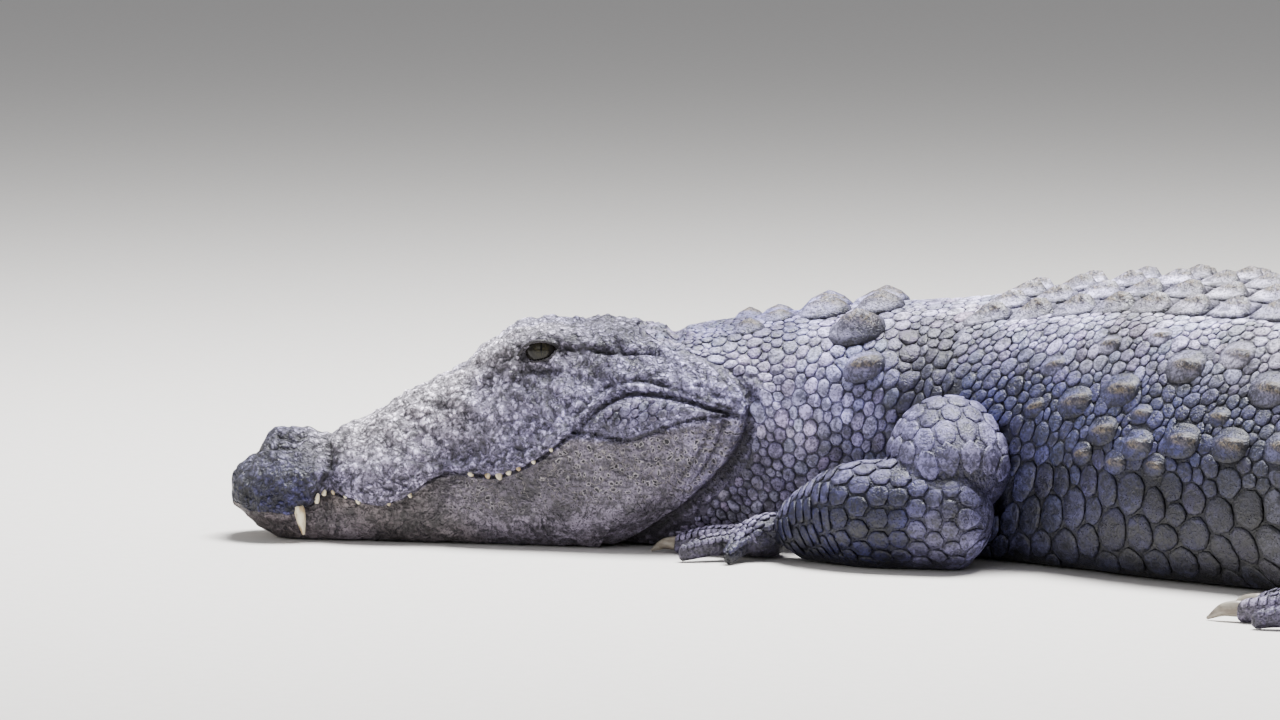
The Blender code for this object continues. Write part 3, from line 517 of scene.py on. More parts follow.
# %% Joints of the four limbs, as (along the spine, out, up)
FRONT = {
    1: dict(shoulder=(0.836, 0.152, 0.142), bulge=(0.878, 0.237, 0.098), elbow=(0.893, 0.262, 0.062),
            belly=(0.764, 0.254, 0.06), wrist=(0.63, 0.202, 0.032), swing=0),
    -1: dict(shoulder=(0.836, 0.152, 0.142), bulge=(0.882, 0.241, 0.097), elbow=(0.905, 0.275, 0.062),
             belly=(0.79, 0.283, 0.06), wrist=(0.668, 0.262, 0.032), swing=12),
}
HIND = {
    1: dict(hip=(1.78, 0.1, 0.16), knee=(1.615, 0.285, 0.125), ankle=(1.755, 0.352, 0.046), swing=15),
    -1: dict(hip=(1.76, 0.1, 0.16), knee=(1.57, 0.3, 0.125), ankle=(1.745, 0.345, 0.046), swing=24),
}
# Each digit: how it splays outward in degrees, inner digit first, its length and radius.
FINGERS = ((-12, 0.078, 0.0115), (-3, 0.1, 0.013), (7, 0.105, 0.013), (46, 0.084, 0.012), (94, 0.058, 0.011))
TOES = ((-17, 0.15, 0.0165), (-5, 0.178, 0.0165), (8, 0.176, 0.0155), (22, 0.146, 0.0135))
CLAWED, CLAW = 3, 0.036  # only the three inner digits carry claws, this long
print("joints:", sum(len(pose) - 1 for limbs in (FRONT, HIND) for pose in limbs.values()))

# %% A tube that swells, closed at both ends
class Tube:
    """A limb or digit along a smooth line through points, with (sideways, up) radii at each of them."""

    def __init__(self, points, radii, kind):
        self.kind = kind
        points, radii = np.array(points, float), np.array(radii, float)
        reach = lengths_along(points)
        self.length = reach[-1]
        self.curves = [profile(*zip(reach, column)) for column in (*points.T, *radii.T)]
        self.ends = radii.max(1)[[0, -1]] * 0.85

    def at(self, t, angle):
        """Points of the surface and the outward directions there."""
        t, angle = np.broadcast_arrays(np.asarray(t, float), np.asarray(angle, float))
        here = np.stack([curve(t) for curve in self.curves], -1)
        fore, aft = np.minimum(t + 0.01, self.length), np.maximum(t - 0.01, 0)
        ahead = unit(np.stack([curve(fore) - curve(aft) for curve in self.curves[:3]], -1))
        across = unit(np.stack([ahead[..., 1], -ahead[..., 0], 0 * t], -1))
        lift = np.cross(across, ahead)
        near = (np.clip(1 - t / self.ends[0], 0, 1) ** 2
                + np.clip(1 - (self.length - t) / self.ends[1], 0, 1) ** 2)
        share = np.sqrt(np.clip(1 - near, 0.0, 1))[..., None]
        cosine, sine = np.cos(angle)[..., None], np.sin(angle)[..., None]
        out = unit(across * cosine * here[..., 4:5] + lift * sine * here[..., 3:4])
        return here[..., :3] + share * (across * cosine * here[..., 3:4] + lift * sine * here[..., 4:5]), out

    def grid(self, sides=28):
        """Rings of points and the faces between them, closed at both ends."""
        bend = 1 - np.cos(np.linspace(0, np.pi / 2, 6))
        t = np.concatenate([bend * self.ends[0],
                            np.linspace(self.ends[0], self.length - self.ends[1], 14)[1:-1],
                            self.length - bend[::-1] * self.ends[1]])
        spots, _ = self.at(t[1:-1, None], np.linspace(0, 2 * np.pi, sides, endpoint=False)[None, :])
        tips = np.stack([self.at(x, 0.0)[0] for x in (0.0, self.length)])
        return np.concatenate([spots.reshape(-1, 3), tips]), ring_faces(len(spots), sides)

# %% Palms with their digits, and whole limbs
def turned(direction, degrees):
    return Matrix.Rotation(math.radians(degrees), 3, "Z") @ direction


def foot_tubes(ankle, forward, side, digits, palm, thick):
    """The palm's tube, each digit's tube and the place of each claw."""
    heel, front = ankle - forward * 0.01, ankle + forward * palm
    front.z = thick * 0.75
    tubes = [Tube([heel, (heel + front) / 2, front],
                  [(thick * 1.25, thick), (thick * 1.7, thick * 0.85), (thick * 1.9, thick * 0.62)], "palm")]
    claws = []
    for number, (splay, length, radius) in enumerate(digits, 1):
        lead = turned(forward, splay * side)
        root = (ankle + forward * palm * 0.45
                + turned(forward, 90 * side) * max(min(splay / 40, 0.9), -0.9) * thick)
        root.z = thick * 0.8
        tip = root + lead * length
        tip.z = radius * 0.8
        middle = (root + tip) / 2
        middle.z = radius * 1.6
        end = radius * (0.74 if number <= CLAWED else 0.62)
        tubes.append(Tube([root, middle, tip], [(radius * 1.15,) * 2, (radius,) * 2, (end,) * 2], "digit"))
        if number <= CLAWED:
            back, point = tip - lead * radius * 0.9, tip + lead * CLAW * (radius / 0.0145)
            back.z, point.z = radius * 0.95, 0.0022
            claws.append((back, point, radius))
    return tubes, claws


def limb_tubes(side, front):
    pose = (FRONT if front else HIND)[side]
    joint = {key: Vector(place(v[0], side * v[1], v[2])) for key, v in pose.items() if key != "swing"}
    if front:
        elbow, belly, wrist = joint["elbow"], joint["belly"], joint["wrist"]
        behind = elbow + (elbow - belly).normalized() * 0.04
        tubes = [
            Tube([joint["shoulder"], joint["bulge"], elbow], [(0.068, 0.07), (0.07, 0.074), (0.059, 0.061)],
                 "upper"),
            Tube([behind, elbow, belly, wrist],
                 [(0.044, 0.046), (0.056, 0.059), (0.053, 0.059), (0.031, 0.027)], "lower"),
        ]
        forward = wrist - belly
        forward.z = 0
        ankle, digits, palm, thick = wrist, FINGERS, 0.06, 0.026
    else:
        hip, knee, ankle = joint["hip"], joint["knee"], joint["ankle"]
        tubes = [
            Tube([hip, (hip + knee) / 2, knee], [(0.112, 0.105), (0.098, 0.092), (0.06, 0.066)], "upper"),
            Tube([knee, knee * 0.6 + ankle * 0.4, ankle], [(0.058, 0.064), (0.054, 0.056), (0.034, 0.034)],
                 "lower"),
        ]
        forward = Vector(place(HIP - 0.15, 0, 0) - place(HIP - 0.05, 0, 0))
        digits, palm, thick = TOES, 0.115, 0.036
    forward = turned(forward.normalized(), pose["swing"] * side)
    more, claws = foot_tubes(ankle, forward, side, digits, palm, thick)
    return tubes + more, claws


LIMBS = {(word, name): limb_tubes(side, name == "hand") for side, word in SIDES
         for name in ("hand", "foot")}
print({"_".join(key): f"{len(tubes)} tubes" for key, (tubes, _) in LIMBS.items()})

# %% Tools that make a mesh, settle it and store values on it
def new_object(name, verts, faces):
    mesh = bpy.data.meshes.new(name)
    mesh.from_pydata([tuple(map(float, v)) for v in verts], [], [tuple(map(int, f)) for f in faces])
    mesh.update()
    obj = bpy.data.objects.new(name, mesh)
    bpy.context.scene.collection.objects.link(obj)
    return obj


def settle(obj):
    """Turns an object's live modifiers into plain mesh."""
    graph = bpy.context.evaluated_depsgraph_get()
    graph.update()
    mesh = bpy.data.meshes.new_from_object(obj.evaluated_get(graph))
    obj.modifiers.clear()
    obj.data = mesh
    return obj


def mesh_arrays(mesh):
    points = np.empty(len(mesh.vertices) * 3)
    mesh.vertices.foreach_get("co", points)
    around = np.empty(len(mesh.vertices) * 3)
    mesh.vertices.foreach_get("normal", around)
    return points.reshape(-1, 3), around.reshape(-1, 3)


def store(mesh, name, values, kind="FLOAT", domain="POINT"):
    """Keeps an array on a mesh as an attribute; colours get their fourth number here."""
    values = np.asarray(values, float)
    if kind == "FLOAT_COLOR":
        values = np.concatenate([np.clip(values, 0.002, 0.9), np.ones((len(values), 1))], 1)
    key = {"FLOAT": "value", "FLOAT_COLOR": "color", "FLOAT_VECTOR": "vector"}[kind]
    mesh.attributes.new(name, kind, domain).data.foreach_set(key, values.ravel())


def face_outward(obj):
    made = bmesh.new()
    made.from_mesh(obj.data)
    bmesh.ops.recalc_face_normals(made, faces=made.faces)
    made.to_mesh(obj.data)
    made.free()
    return obj

# %% Melt each limb's tubes into one skin
LIMB_TRIANGLES, LIMB_COAT = 12500, 0.0022  # a limb's triangles, and how far its skin lies under its solids
limb_skins, limb_trees = {}, {}
for (word, name), (tubes, _) in LIMBS.items():
    verts, faces = [], []
    for tube in tubes:
        points, quads = tube.grid()
        faces += [[i + len(verts) for i in quad] for quad in quads]
        verts += points.tolist()
    limb = new_object(f"limb_{word}_{name}", verts, faces)
    melt = limb.modifiers.new("melt", "REMESH")
    melt.mode, melt.voxel_size = "VOXEL", 0.0036
    even = limb.modifiers.new("even", "SMOOTH")
    even.factor, even.iterations = 0.5, 5
    settle(limb)
    limb_trees[word, name] = BVHTree.FromObject(limb, bpy.context.evaluated_depsgraph_get())
    thin = limb.modifiers.new("thin", "DECIMATE")
    thin.ratio = LIMB_TRIANGLES / (2 * len(limb.data.polygons))
    settle(limb)
    points, around = mesh_arrays(limb.data)
    points -= around * LIMB_COAT
    points[:, 2] = np.maximum(points[:, 2], 0.0)
    limb_skins[word, name] = (points, [tuple(p.vertices) for p in limb.data.polygons])
    bpy.data.objects.remove(limb)
print("limb skin points:", [len(points) for points, _ in limb_skins.values()])

# %% [markdown]
# ## A map of the skin
#
# Scales have to be laid out on a flat sheet and then carried onto the body. The map runs from the snout to
# the tail one way and round the body from the back's midline the other way, both in metres, so that a scale
# keeps its size. Blender could project them with Shrinkwrap, but a table of the skin's own rings is exact and
# quick.

# %% Table from (along, girth) to the skin
ALONG_STEP, GIRTH_STEP = 0.004, 0.0025
girth = girths(outline)
girth_marks = np.arange(0, girth.max() + GIRTH_STEP, GIRTH_STEP)
layers = np.concatenate([
    outline, half, np.broadcast_to(WHERE[None, :, None], (*half.shape[:2], 1)), crease[..., None],
    np.broadcast_to(stations[:, None, None], (*half.shape[:2], 1)),
], 2)
by_ring = np.stack([[np.interp(girth_marks, g, layer) for layer in ring.T] for g, ring in zip(girth, layers)])
along_marks = np.arange(0.008, TAIL_TIP - 0.01, ALONG_STEP)
table = np.empty((len(along_marks), len(girth_marks), 9))
for k in range(len(girth_marks)):
    run = np.maximum.accumulate(by_ring[:, 0, k])
    for layer in range(9):
        table[:, k, layer] = np.interp(along_marks, run, by_ring[:, layer, k])
table[..., 0] = along_marks[:, None]


def look(a, q):
    """The table's nine layers at (along, girth), between its marks."""
    i = np.clip((a - along_marks[0]) / ALONG_STEP, 0, len(along_marks) - 1.001)
    k = np.clip(np.abs(q) / GIRTH_STEP, 0, len(girth_marks) - 1.001)
    i0, k0 = i.astype(int), k.astype(int)
    along, round_ = (i - i0)[..., None], (k - k0)[..., None]
    low = table[i0, k0] * (1 - round_) + table[i0, k0 + 1] * round_
    high = table[i0 + 1, k0] * (1 - round_) + table[i0 + 1, k0 + 1] * round_
    return low * (1 - along) + high * along


def on_skin(a, q):
    """Where (along, girth) lies on the skin, the animal's left being the positive girth."""
    found = look(a, q)
    return place(found[..., 3], found[..., 4] * np.sign(q + 1e-12), found[..., 5])


def skin_frame(a, q):
    """Points on the skin, their outward normals, and the metres in one step along and in one round."""
    d = 0.004
    ahead = (on_skin(a + d, q) - on_skin(a - d, q)) / (2 * d)
    around = (on_skin(a, q + d) - on_skin(a, q - d)) / (2 * d)
    return (on_skin(a, q), unit(np.cross(around, ahead)),
            np.linalg.norm(ahead, axis=-1), np.linalg.norm(around, axis=-1))


def girth_at(a, w):
    """The girth at which the mark w, counted in knots from the back's midline, lies at a place along."""
    a, w = np.broadcast_arrays(np.asarray(a, float), np.asarray(w, float))
    rows = np.clip(((a - along_marks[0]) / ALONG_STEP).round().astype(int), 0, len(along_marks) - 1)
    found = [np.interp(y, table[r, :, 6], girth_marks) for r, y in zip(rows.ravel(), w.ravel())]
    return np.array(found).reshape(a.shape)


print("map:", table.shape[:2], "marks; girth of half the belly:", round(float(girth_at(1.3, 6.0)), 3), "m")

# %% Build the skin
def closed_rings(flat):
    left = place(*flat.transpose(2, 0, 1))
    right = place(flat[..., 0], -flat[..., 1], flat[..., 2])[:, -2:0:-1]
    return np.concatenate([left, right], 1)


rings = closed_rings(half)
centre = rings[0].mean(0)
nose = [centre + (rings[0] - centre) * math.cos(x) + (place(-0.0045, 0, 0) - place(0, 0, 0)) * math.sin(x)
        for x in np.radians((75, 55, 35, 18))]
rings = np.concatenate([np.array(nose), rings])
rings[..., 2] = np.maximum(rings[..., 2], 0)
poles = [nose[0].mean(0) + (place(-0.0003, 0, 0) - place(0, 0, 0)), rings[-1].mean(0)]
body = new_object("skin", np.concatenate([rings.reshape(-1, 3), poles]),
                  ring_faces(*rings.shape[:2], flip=True))
body_tree = BVHTree.FromObject(body, bpy.context.evaluated_depsgraph_get())
mesh_test = bmesh.new()
mesh_test.from_mesh(body.data)
print("body volume:", round(mesh_test.calc_volume(signed=True), 4), "m3")
mesh_test.free()


def both_sides(grid):
    return np.concatenate([grid, grid[:, -2:0:-1]], 1)


padded = [np.concatenate([np.repeat(both_sides(g)[:1], len(nose), 0), both_sides(g)]).ravel() for g in
          (outline[..., 0], np.tile(WHERE, (len(stations), 1)), crease, S)]
skin_along, skin_where, skin_hollow_shade, skin_station = (np.concatenate([g, g[[0, -1]]]) for g in padded)

# %% [markdown]
# ## Markings
#
# The animal is pale on its back, partly from dust and old horn and partly as painted light from above,
# blue-grey on its side, and dark low down, which is partly painted shade; the front of the snout is dark.
# Skin and scales take their colour from the same bands along the body, so that the markings run on from one
# to the other. The bands could be painted by hand, but four lists of colours hold them.

# %% Colours along four bands, and the tone at any place
def paint(red, green, blue):
    """A colour from 0-255 values as a maker mixes them, turned into the light that Blender reckons with."""
    share = np.array([red, green, blue]) / 255
    return np.where(share < 0.04045, share / 12.92, ((share + 0.055) / 1.055) ** 2.4)


# Pale tops of the back and snout are partly painted light from above; the dark of the lower flank is partly
# painted shade.
TOP_BAND = ((0.02, (70, 69, 90)), (0.08, (112, 109, 130)), (0.15, (232, 226, 242)), (0.3, (232, 226, 242)),
            (0.4, (132, 128, 152)), (0.5, (116, 113, 138)), (0.64, (112, 111, 150)), (0.85, (190, 187, 214)),
            (1.2, (206, 202, 226)), (1.9, (180, 178, 190)), (2.6, (148, 147, 145)), (3.6, (128, 127, 122)))
SIDE_BAND = ((0.02, (38, 38, 62)), (0.09, (50, 49, 80)), (0.14, (150, 144, 178)), (0.3, (166, 159, 190)),
             (0.5, (176, 171, 206)), (0.62, (170, 166, 204)), (0.75, (134, 132, 172)), (0.88, (52, 54, 92)),
             (1.3, (40, 42, 76)), (1.9, (90, 89, 104)), (2.6, (98, 98, 96)), (3.6, (88, 88, 84)))
LOW_BAND = ((0.02, (90, 82, 80)), (0.2, (90, 84, 88)), (0.5, (100, 94, 104)), (0.65, (134, 130, 160)),
            (0.88, (46, 47, 72)), (1.3, (24, 24, 38)), (1.9, (68, 67, 74)), (2.6, (84, 84, 79)),
            (3.6, (80, 80, 74)))
SOLE_BAND = ((0.0, (152, 146, 136)), (0.6, (140, 136, 128)), (1.3, (134, 130, 120)), (3.6, (126, 122, 110)))
PAWS = np.array([claw[0][:] for _, claws in LIMBS.values() for claw in claws])  # where the claws grow
ELBOWS = np.array([place(FRONT[side]["elbow"][0], side * FRONT[side]["elbow"][1], 0.05) for side in (1, -1)])
ARM = paint(20, 21, 54)
ELBOW = paint(106, 103, 136)
HAND = paint(126, 119, 140)


def tone_at(along, where):
    """The hide's colour at places along the body and marks round it."""
    bands = [np.stack([np.interp(along, [a for a, _ in band], [paint(*c)[i] for _, c in band])
                       for i in range(3)], -1)
             for band in (TOP_BAND, SIDE_BAND, LOW_BAND, SOLE_BAND)]
    head = along < 0.57
    low_start = np.where(head, 2.98, 2.4)
    shares = [step(where, 0.8, 2.0), step(where, low_start, np.where(head, 3.1, 3.7)), step(where, 5.0, 5.5)]
    made = bands[0]
    for band, share in zip(bands[1:], shares):
        made = made * (1 - share[..., None]) + band * share[..., None]
    shadow = bell(along - 0.834, 0.062) * step(where, 0.6, 1.2)  # painted shade over the shoulder, behind its folds
    return made * (1 - 0.74 * shadow[..., None])


def limb_tone(points, around):
    """Arm and leg colour: dark violet, darkest near the floor as painted shade; paler on top and on the
    elbow, partly dust and partly painted light; paler with dust on the digits.
    """
    points = np.asarray(points)
    bend = np.linalg.norm(points[..., None, :] - ELBOWS, axis=-1).min(-1)
    # paler where the limb faces up, stands high or bends at the elbow: partly dust, partly painted light
    up = np.maximum(0.5 * step(around[..., 2], 0.2, 1.0), 0.9 * step(points[..., 2], 0.085, 0.135))
    up = np.maximum(up, 0.7 * fade(bend, 0.045, 0.085))[..., None]
    # painted shade near the floor
    low = step(points[..., 2], 0.0, 0.05)[..., None]
    made = (ARM * (0.6 + 0.4 * low)) * (1 - up) + ELBOW * up
    near = np.linalg.norm(points[..., None, :2] - PAWS[:, :2], axis=-1).min(-1)
    paw = 0.8 * fade(near, 0.05, 0.12)[..., None]
    return made * (1 - paw) + HAND * paw


print("tone of the cheek:", tone_at(np.array(0.3), np.array(2.0)).round(3))

# %% [markdown]
# ## Laying out the scales
#
# Small scales of a crocodile's side are not on a grid: large ones sit among small ones and press them aside.
# Points are scattered by the size wanted at each place and pushed apart until they sit like that, as bubbles
# do. Each scale is then the cell of ground nearer to its point than to its neighbours, its corners rounded.
# The square scales of the tail are laid out as rows.

# %% Bubbles pushed apart
CORNERS = 12  # every scale has twelve corners
MARK, ROUNDS = 0.005, 15  # the pitch at which the wanted density is reckoned, and the rounds of pushing apart


def neighbours(points):
    made = delaunay_2d_cdt([Vector(p) for p in points.tolist()], [], [], 0, 1e-9)
    back = np.array([source[0] for source in made[3]])
    return back[np.array(made[1])], back[np.array(made[2])]


def scatter(area, inside, size_of, fixed=(), stretch=1.0):
    """Bubbles over area (along from, to, girth from, to) where inside() holds, as arrays of place and size.

    fixed holds (along, girth, size) of large scales that stay put. stretch above 1 makes scales longer.
    """
    a0, a1, q0, q1 = area
    columns, rows = np.arange(a0, a1, MARK), np.arange(q0, q1, MARK)
    grid_a, grid_q = (g.ravel() for g in np.meshgrid(columns, rows))
    _, _, metre_a, metre_q = skin_frame(grid_a, grid_q)
    weight = (metre_a * metre_q * MARK**2 / (0.72 * size_of(grid_a, grid_q) ** 2 * stretch)
              * inside(grid_a, grid_q))
    for along, girth_, size in fixed:
        weight[np.hypot(grid_a - along, grid_q - girth_) < size * 0.45] = 0
    density = (weight / MARK**2).reshape(len(rows), -1)
    spots, a = [], a0
    while a < a1 - MARK:  # rows across the body, as bubbles are wanted there
        column = density[:, np.searchsorted(columns, a)]
        if column.max() == 0:
            a += MARK
            continue
        pitch = float((column > 0).sum() / np.sqrt(column[column > 0]).sum())
        count_ = np.cumsum(column * pitch * MARK)
        marks = np.arange(chance.uniform(0.3, 0.7), count_[-1], 1.0)
        spots += [(a + pitch / 2, q) for q in np.interp(marks, count_, rows)]
        a += pitch
    spots = np.array(spots) + chance.normal(0, 0.0022, (len(spots), 2))
    held = np.array(fixed, float).reshape(-1, 3)
    spots = np.concatenate([held[:, :2], spots])
    vary = np.where(chance.random(len(spots)) < 0.42, 1.16, 0.68) * np.exp(chance.normal(0, 0.1, len(spots)))
    vary **= np.interp(look(*spots.T)[:, 6], (3.0, 3.5), (1, 0.4))  # small ones sit among large ones
    vary[: len(held)] = 1
    for turn_ in range(ROUNDS):
        if turn_ % 3 == 0:
            edges, _ = neighbours(spots)
            i, j = edges.T
            size = size_of(*spots.T) * vary
            size[: len(held)] = held[:, 2]
            _, _, metre_a, metre_q = skin_frame(*spots.T)
            scale = np.stack([(metre_a[i] + metre_a[j]) / stretch, metre_q[i] + metre_q[j]], 1)
            scale /= (size[i] + size[j])[:, None]
        apart = (spots[j] - spots[i]) * scale
        length = np.maximum(np.linalg.norm(apart, axis=1, keepdims=True), 1e-6)
        pull = np.where(length < 1.6, np.clip(length - 1, -0.5, 0.2), 0) * 0.22
        move = apart / length * pull / scale
        shift = np.zeros_like(spots)
        np.add.at(shift, i, move)
        np.add.at(shift, j, -move)
        shift[: len(held)] = 0
        spots += shift
    size = size_of(*spots.T) * vary
    size[: len(held)] = held[:, 2]
    return spots, size

# %% The cell of ground round each bubble, and the brick of a row
def cell_corners(spots, size, gap):
    """Each bubble's cell as twelve (along, round) offsets in metres, and which bubbles have a whole cell."""
    _, triangles = neighbours(spots)
    _, _, metre_a, metre_q = skin_frame(*spots.T)
    metre = np.stack([metre_a, metre_q], 1)
    share = size[triangles]
    corner = np.zeros((len(triangles), 2))
    for x, y in ((0, 1), (1, 2), (2, 0)):
        a, b = spots[triangles[:, x]], spots[triangles[:, y]]
        corner += (a + (b - a) * (share[:, x] / (share[:, x] + share[:, y]))[:, None]) / 3
    owner = triangles.ravel()
    order = np.argsort(owner, kind="stable")
    offsets = (corner[order // 3] - spots[owner[order]]) * metre[owner[order]]
    bounds = np.searchsorted(owner[order], np.arange(len(spots) + 1))
    cells_, whole = np.zeros((len(spots), CORNERS, 2)), np.zeros(len(spots), bool)
    for n in range(len(spots)):
        ring = offsets[bounds[n] : bounds[n + 1]]
        if len(ring) < 4:
            continue
        angle = np.arctan2(ring[:, 1], ring[:, 0])
        ring, angle = ring[np.argsort(angle)], np.sort(angle)
        widest = np.diff(np.append(angle, angle[0] + 2 * np.pi)).max()
        if widest > 2.6 or np.linalg.norm(ring, axis=1).max() > size[n] * 1.65:
            continue
        nxt = np.roll(ring, -1, axis=0)
        soft = np.stack([ring * 0.84 + nxt * 0.16, ring * 0.16 + nxt * 0.84], 1).reshape(-1, 2)
        loop = np.vstack([soft, soft[:1]])
        reach_ = lengths_along(loop)
        marks = np.linspace(0, reach_[-1], CORNERS, endpoint=False)
        made = np.stack([np.interp(marks, reach_, loop[:, 0]), np.interp(marks, reach_, loop[:, 1])], 1)
        cells_[n] = made * (1 - gap / max(reach_[-1] / np.pi, gap * 2))
        whole[n] = True
    return cells_, whole


def brick(half_long, half_round, lock=0.0):
    """A scale of a row, as (along, round) offsets; lock lets its middle reach between two of the next row."""
    across = np.array([1, 0.88, 0.46, 0, -0.46, -0.88, -1, -0.88, -0.46, 0, 0.46, 0.88])
    reach_ = np.array([0.1, 0.93, 1, 1, 1, 0.93, -0.1, -0.93, -1, -1, -1, -0.93])
    return np.stack([reach_ * (1 + lock * (1 - 2 * abs(across))) * half_long, across * half_round], -1)


print("corners of a scale:", CORNERS)

# %% Gather the scales piece by piece
coat = {}  # for each piece of the coat: rings, outward directions, rise, root on the bake map, tone
LEAST_HEIGHT, ROW_GAP = 0.0012, 0.0005  # scales end this far above the floor, and half the gap in a row


def body_gap(points, tree):
    """How far points stand out of a closed skin, negative inside it."""
    found = []
    for point in points:
        near, normal, _, _ = tree.find_nearest(Vector(point))
        found.append((Vector(point) - near).dot(normal))
    return np.array(found)


def bake_root(spots):
    return np.stack([0.02 + spots[:, 0] / 4, 0.5 + spots[:, 1] * 0.9], 1)


def keep_plates(piece, rings_, outs, rise, root, tone):
    for kept, value in zip(coat.setdefault(piece, [[], [], [], [], []]), (rings_, outs, rise, root, tone)):
        kept.append(value)


def lay_on_body(piece, spots, corners, rise, tilt=0.0, shade=1.0):
    """Lays cells on the body: spots are (along, girth), corners their offsets, rise their height."""
    centre_, normal, metre_a, metre_q = skin_frame(*spots.T)
    keep = centre_[:, 2] > 0.006
    for tree in limb_trees.values():
        keep &= body_gap(centre_, tree) > 0.001
    rise = np.broadcast_to(rise, len(keep))[keep]
    spots, corners, normal = spots[keep], corners[keep], normal[keep]
    metre = np.stack([metre_a, metre_q], 1)[keep]
    flat = spots[:, None] + corners / metre[:, None]
    rings_, outs, _, _ = skin_frame(flat[..., 0], flat[..., 1])
    back = corners[..., 0] / np.maximum(abs(corners[..., 0]).max(1, keepdims=True), 1e-6)
    rings_ = rings_ + outs * (back * tilt * rise[:, None] - 0.0007)[..., None]
    rings_[..., 2] = np.maximum(rings_[..., 2], LEAST_HEIGHT + rise[:, None] * (-outs[..., 2]).clip(0))
    found = look(*spots.T)
    # scales lying in a fold take on its painted shade
    tone = tone_at(spots[:, 0], found[:, 6]) * (shade * (1 - 0.6 * found[:, 7:8]))
    tone = tone * np.exp(chance.normal(0, 0.2, (len(spots), 1))) * chance.normal(1, 0.035, (len(spots), 3))
    keep_plates(piece, rings_, outs, rise, bake_root(spots), tone)


print("pieces of the coat so far:", len(coat))

# %% [markdown]
# ## Scales of the neck, the flanks and the tail
#
# The neck carries chains of oval pebbles. On the flank, pebbles a fingertip wide surround larger oval shields
# in two lines, and they grow into big flat plates at the belly's edge. Sizes are given as functions of the
# place.

# %% Neck
def marks_of(a, q):
    found = look(a, q)
    return found[..., 8], found[..., 6]  # the ring it lies on, and the mark round the body


def neck_size(a, q):
    ring_, w = marks_of(a, q)
    size = np.interp(w, (0, 1.2, 2.2, 3.2, 4.5), (0.0205, 0.024, 0.025, 0.022, 0.019))
    return size * np.interp(ring_, (0.52, 0.6, 0.66, 0.76), (0.55, 0.68, 0.95, 1.0))


def on_neck(a, q):
    ring_, w = marks_of(a, q)
    return (ring_ > coat_edge(w)) & (a < 0.865 + 0.024 * (w < 1.02)) & (w < 5.05)


# Big keeled plates of the neck: (along, out, half length, half width, rise), a pair of each.
NECK_PLATES = (
    (0.59, 0.06, 0.021, 0.018, 0.011), (0.622, 0.026, 0.022, 0.018, 0.008),
    (0.735, 0.143, 0.028, 0.02, 0.012), (0.677, 0.026, 0.034, 0.025, 0.017),
    (0.722, 0.096, 0.035, 0.028, 0.024), (0.741, 0.028, 0.033, 0.026, 0.017),
)


def girth_for(a, out):
    """The girth at which the back's side lies this far out."""
    reach = np.linspace(0, 0.2, 60)
    return float(np.interp(out, look(np.full(60, a), reach)[:, 1], reach))


nuchals = [(a, side * girth_for(a, out), long * 2, wide * 2, rise)
           for a, out, long, wide, rise in NECK_PLATES for side in (1, -1)]
fixed = [(a, q, (long + wide) * 0.52) for a, q, long, wide, _ in nuchals]
spots, size = scatter((0.44, 0.9, -0.45, 0.45), lambda a, q: on_neck(a, q) | ((a > 0.86) & (a < 0.895)),
                      neck_size, fixed, 0.72)
cells_, whole = cell_corners(spots, size, 0.0007)
whole[: len(fixed)] = False
whole &= on_neck(*spots.T)
lay_on_body("scales_neck", spots[whole], cells_[whole], 0.0022 + size[whole] * 0.05, tilt=0.1)
print("pebbles on the neck:", int(whole.sum()))

# %% Flanks, with two lines of larger shields
FLANK_SHIELDS = (  # (along, mark round the body, size)
    (1.063, 2.12, 0.044), (1.152, 1.91, 0.05), (1.25, 1.64, 0.05), (1.318, 1.5, 0.044), (1.385, 1.76, 0.052),
    (1.455, 1.56, 0.05), (1.53, 1.6, 0.047), (1.6, 1.54, 0.042), (1.142, 2.56, 0.04), (1.217, 2.72, 0.042),
    (1.29, 2.57, 0.048), (1.362, 2.55, 0.048), (1.435, 2.5, 0.044), (1.51, 2.46, 0.04), (1.01, 1.72, 0.031),
    (0.99, 2.25, 0.028), (1.1, 1.5, 0.032), (1.185, 1.38, 0.03), (1.205, 2.2, 0.03), (1.33, 2.1, 0.03),
    (1.1, 2.98, 0.03), (1.178, 3.05, 0.032), (1.255, 3.02, 0.03),
)
FLANK_FOOT = 5.0  # the mark where the scaly side ends, under the belly's edge


def flank_size(a, q):
    _, w = marks_of(a, q)
    return np.interp(w, (1.0, 1.8, 2.6, 3.1, 3.6, 5.0), (0.016, 0.018, 0.0215, 0.0265, 0.04, 0.044))


def on_flank(a, q):
    _, w = marks_of(a, q)
    return (a > 0.862) & (a < 1.9) & (w > 1.0) & (w < FLANK_FOOT)


flank_keels = []
for side, word in SIDES:
    fixed = [(a + 0.008 * (side < 0), side * float(girth_at(a, w)), size) for a, w, size in FLANK_SHIELDS]
    spots, size = scatter((0.83, 1.93, *sorted((side * 0.02, side * 0.62))),
                          lambda a, q: (a > 0.84) & (a < 1.92) & (abs(marks_of(a, q)[1] - 3.15) < 2.2),
                          flank_size, fixed)
    cells_, whole = cell_corners(spots, size, 0.0007)
    large = np.zeros(len(spots), bool)
    large[: len(fixed)] = True
    whole &= on_flank(*spots.T) | large
    small = whole & ~large
    lay_on_body(f"scales_flank_{word}", spots[small], cells_[small], 0.0022 + size[small] * 0.05, tilt=0.12)
    flank_keels += [(a, q, size * 1.16, size * 0.9, size * 0.27) for a, q, size in fixed]
    print("scales on the", word, "flank:", int(whole.sum()))

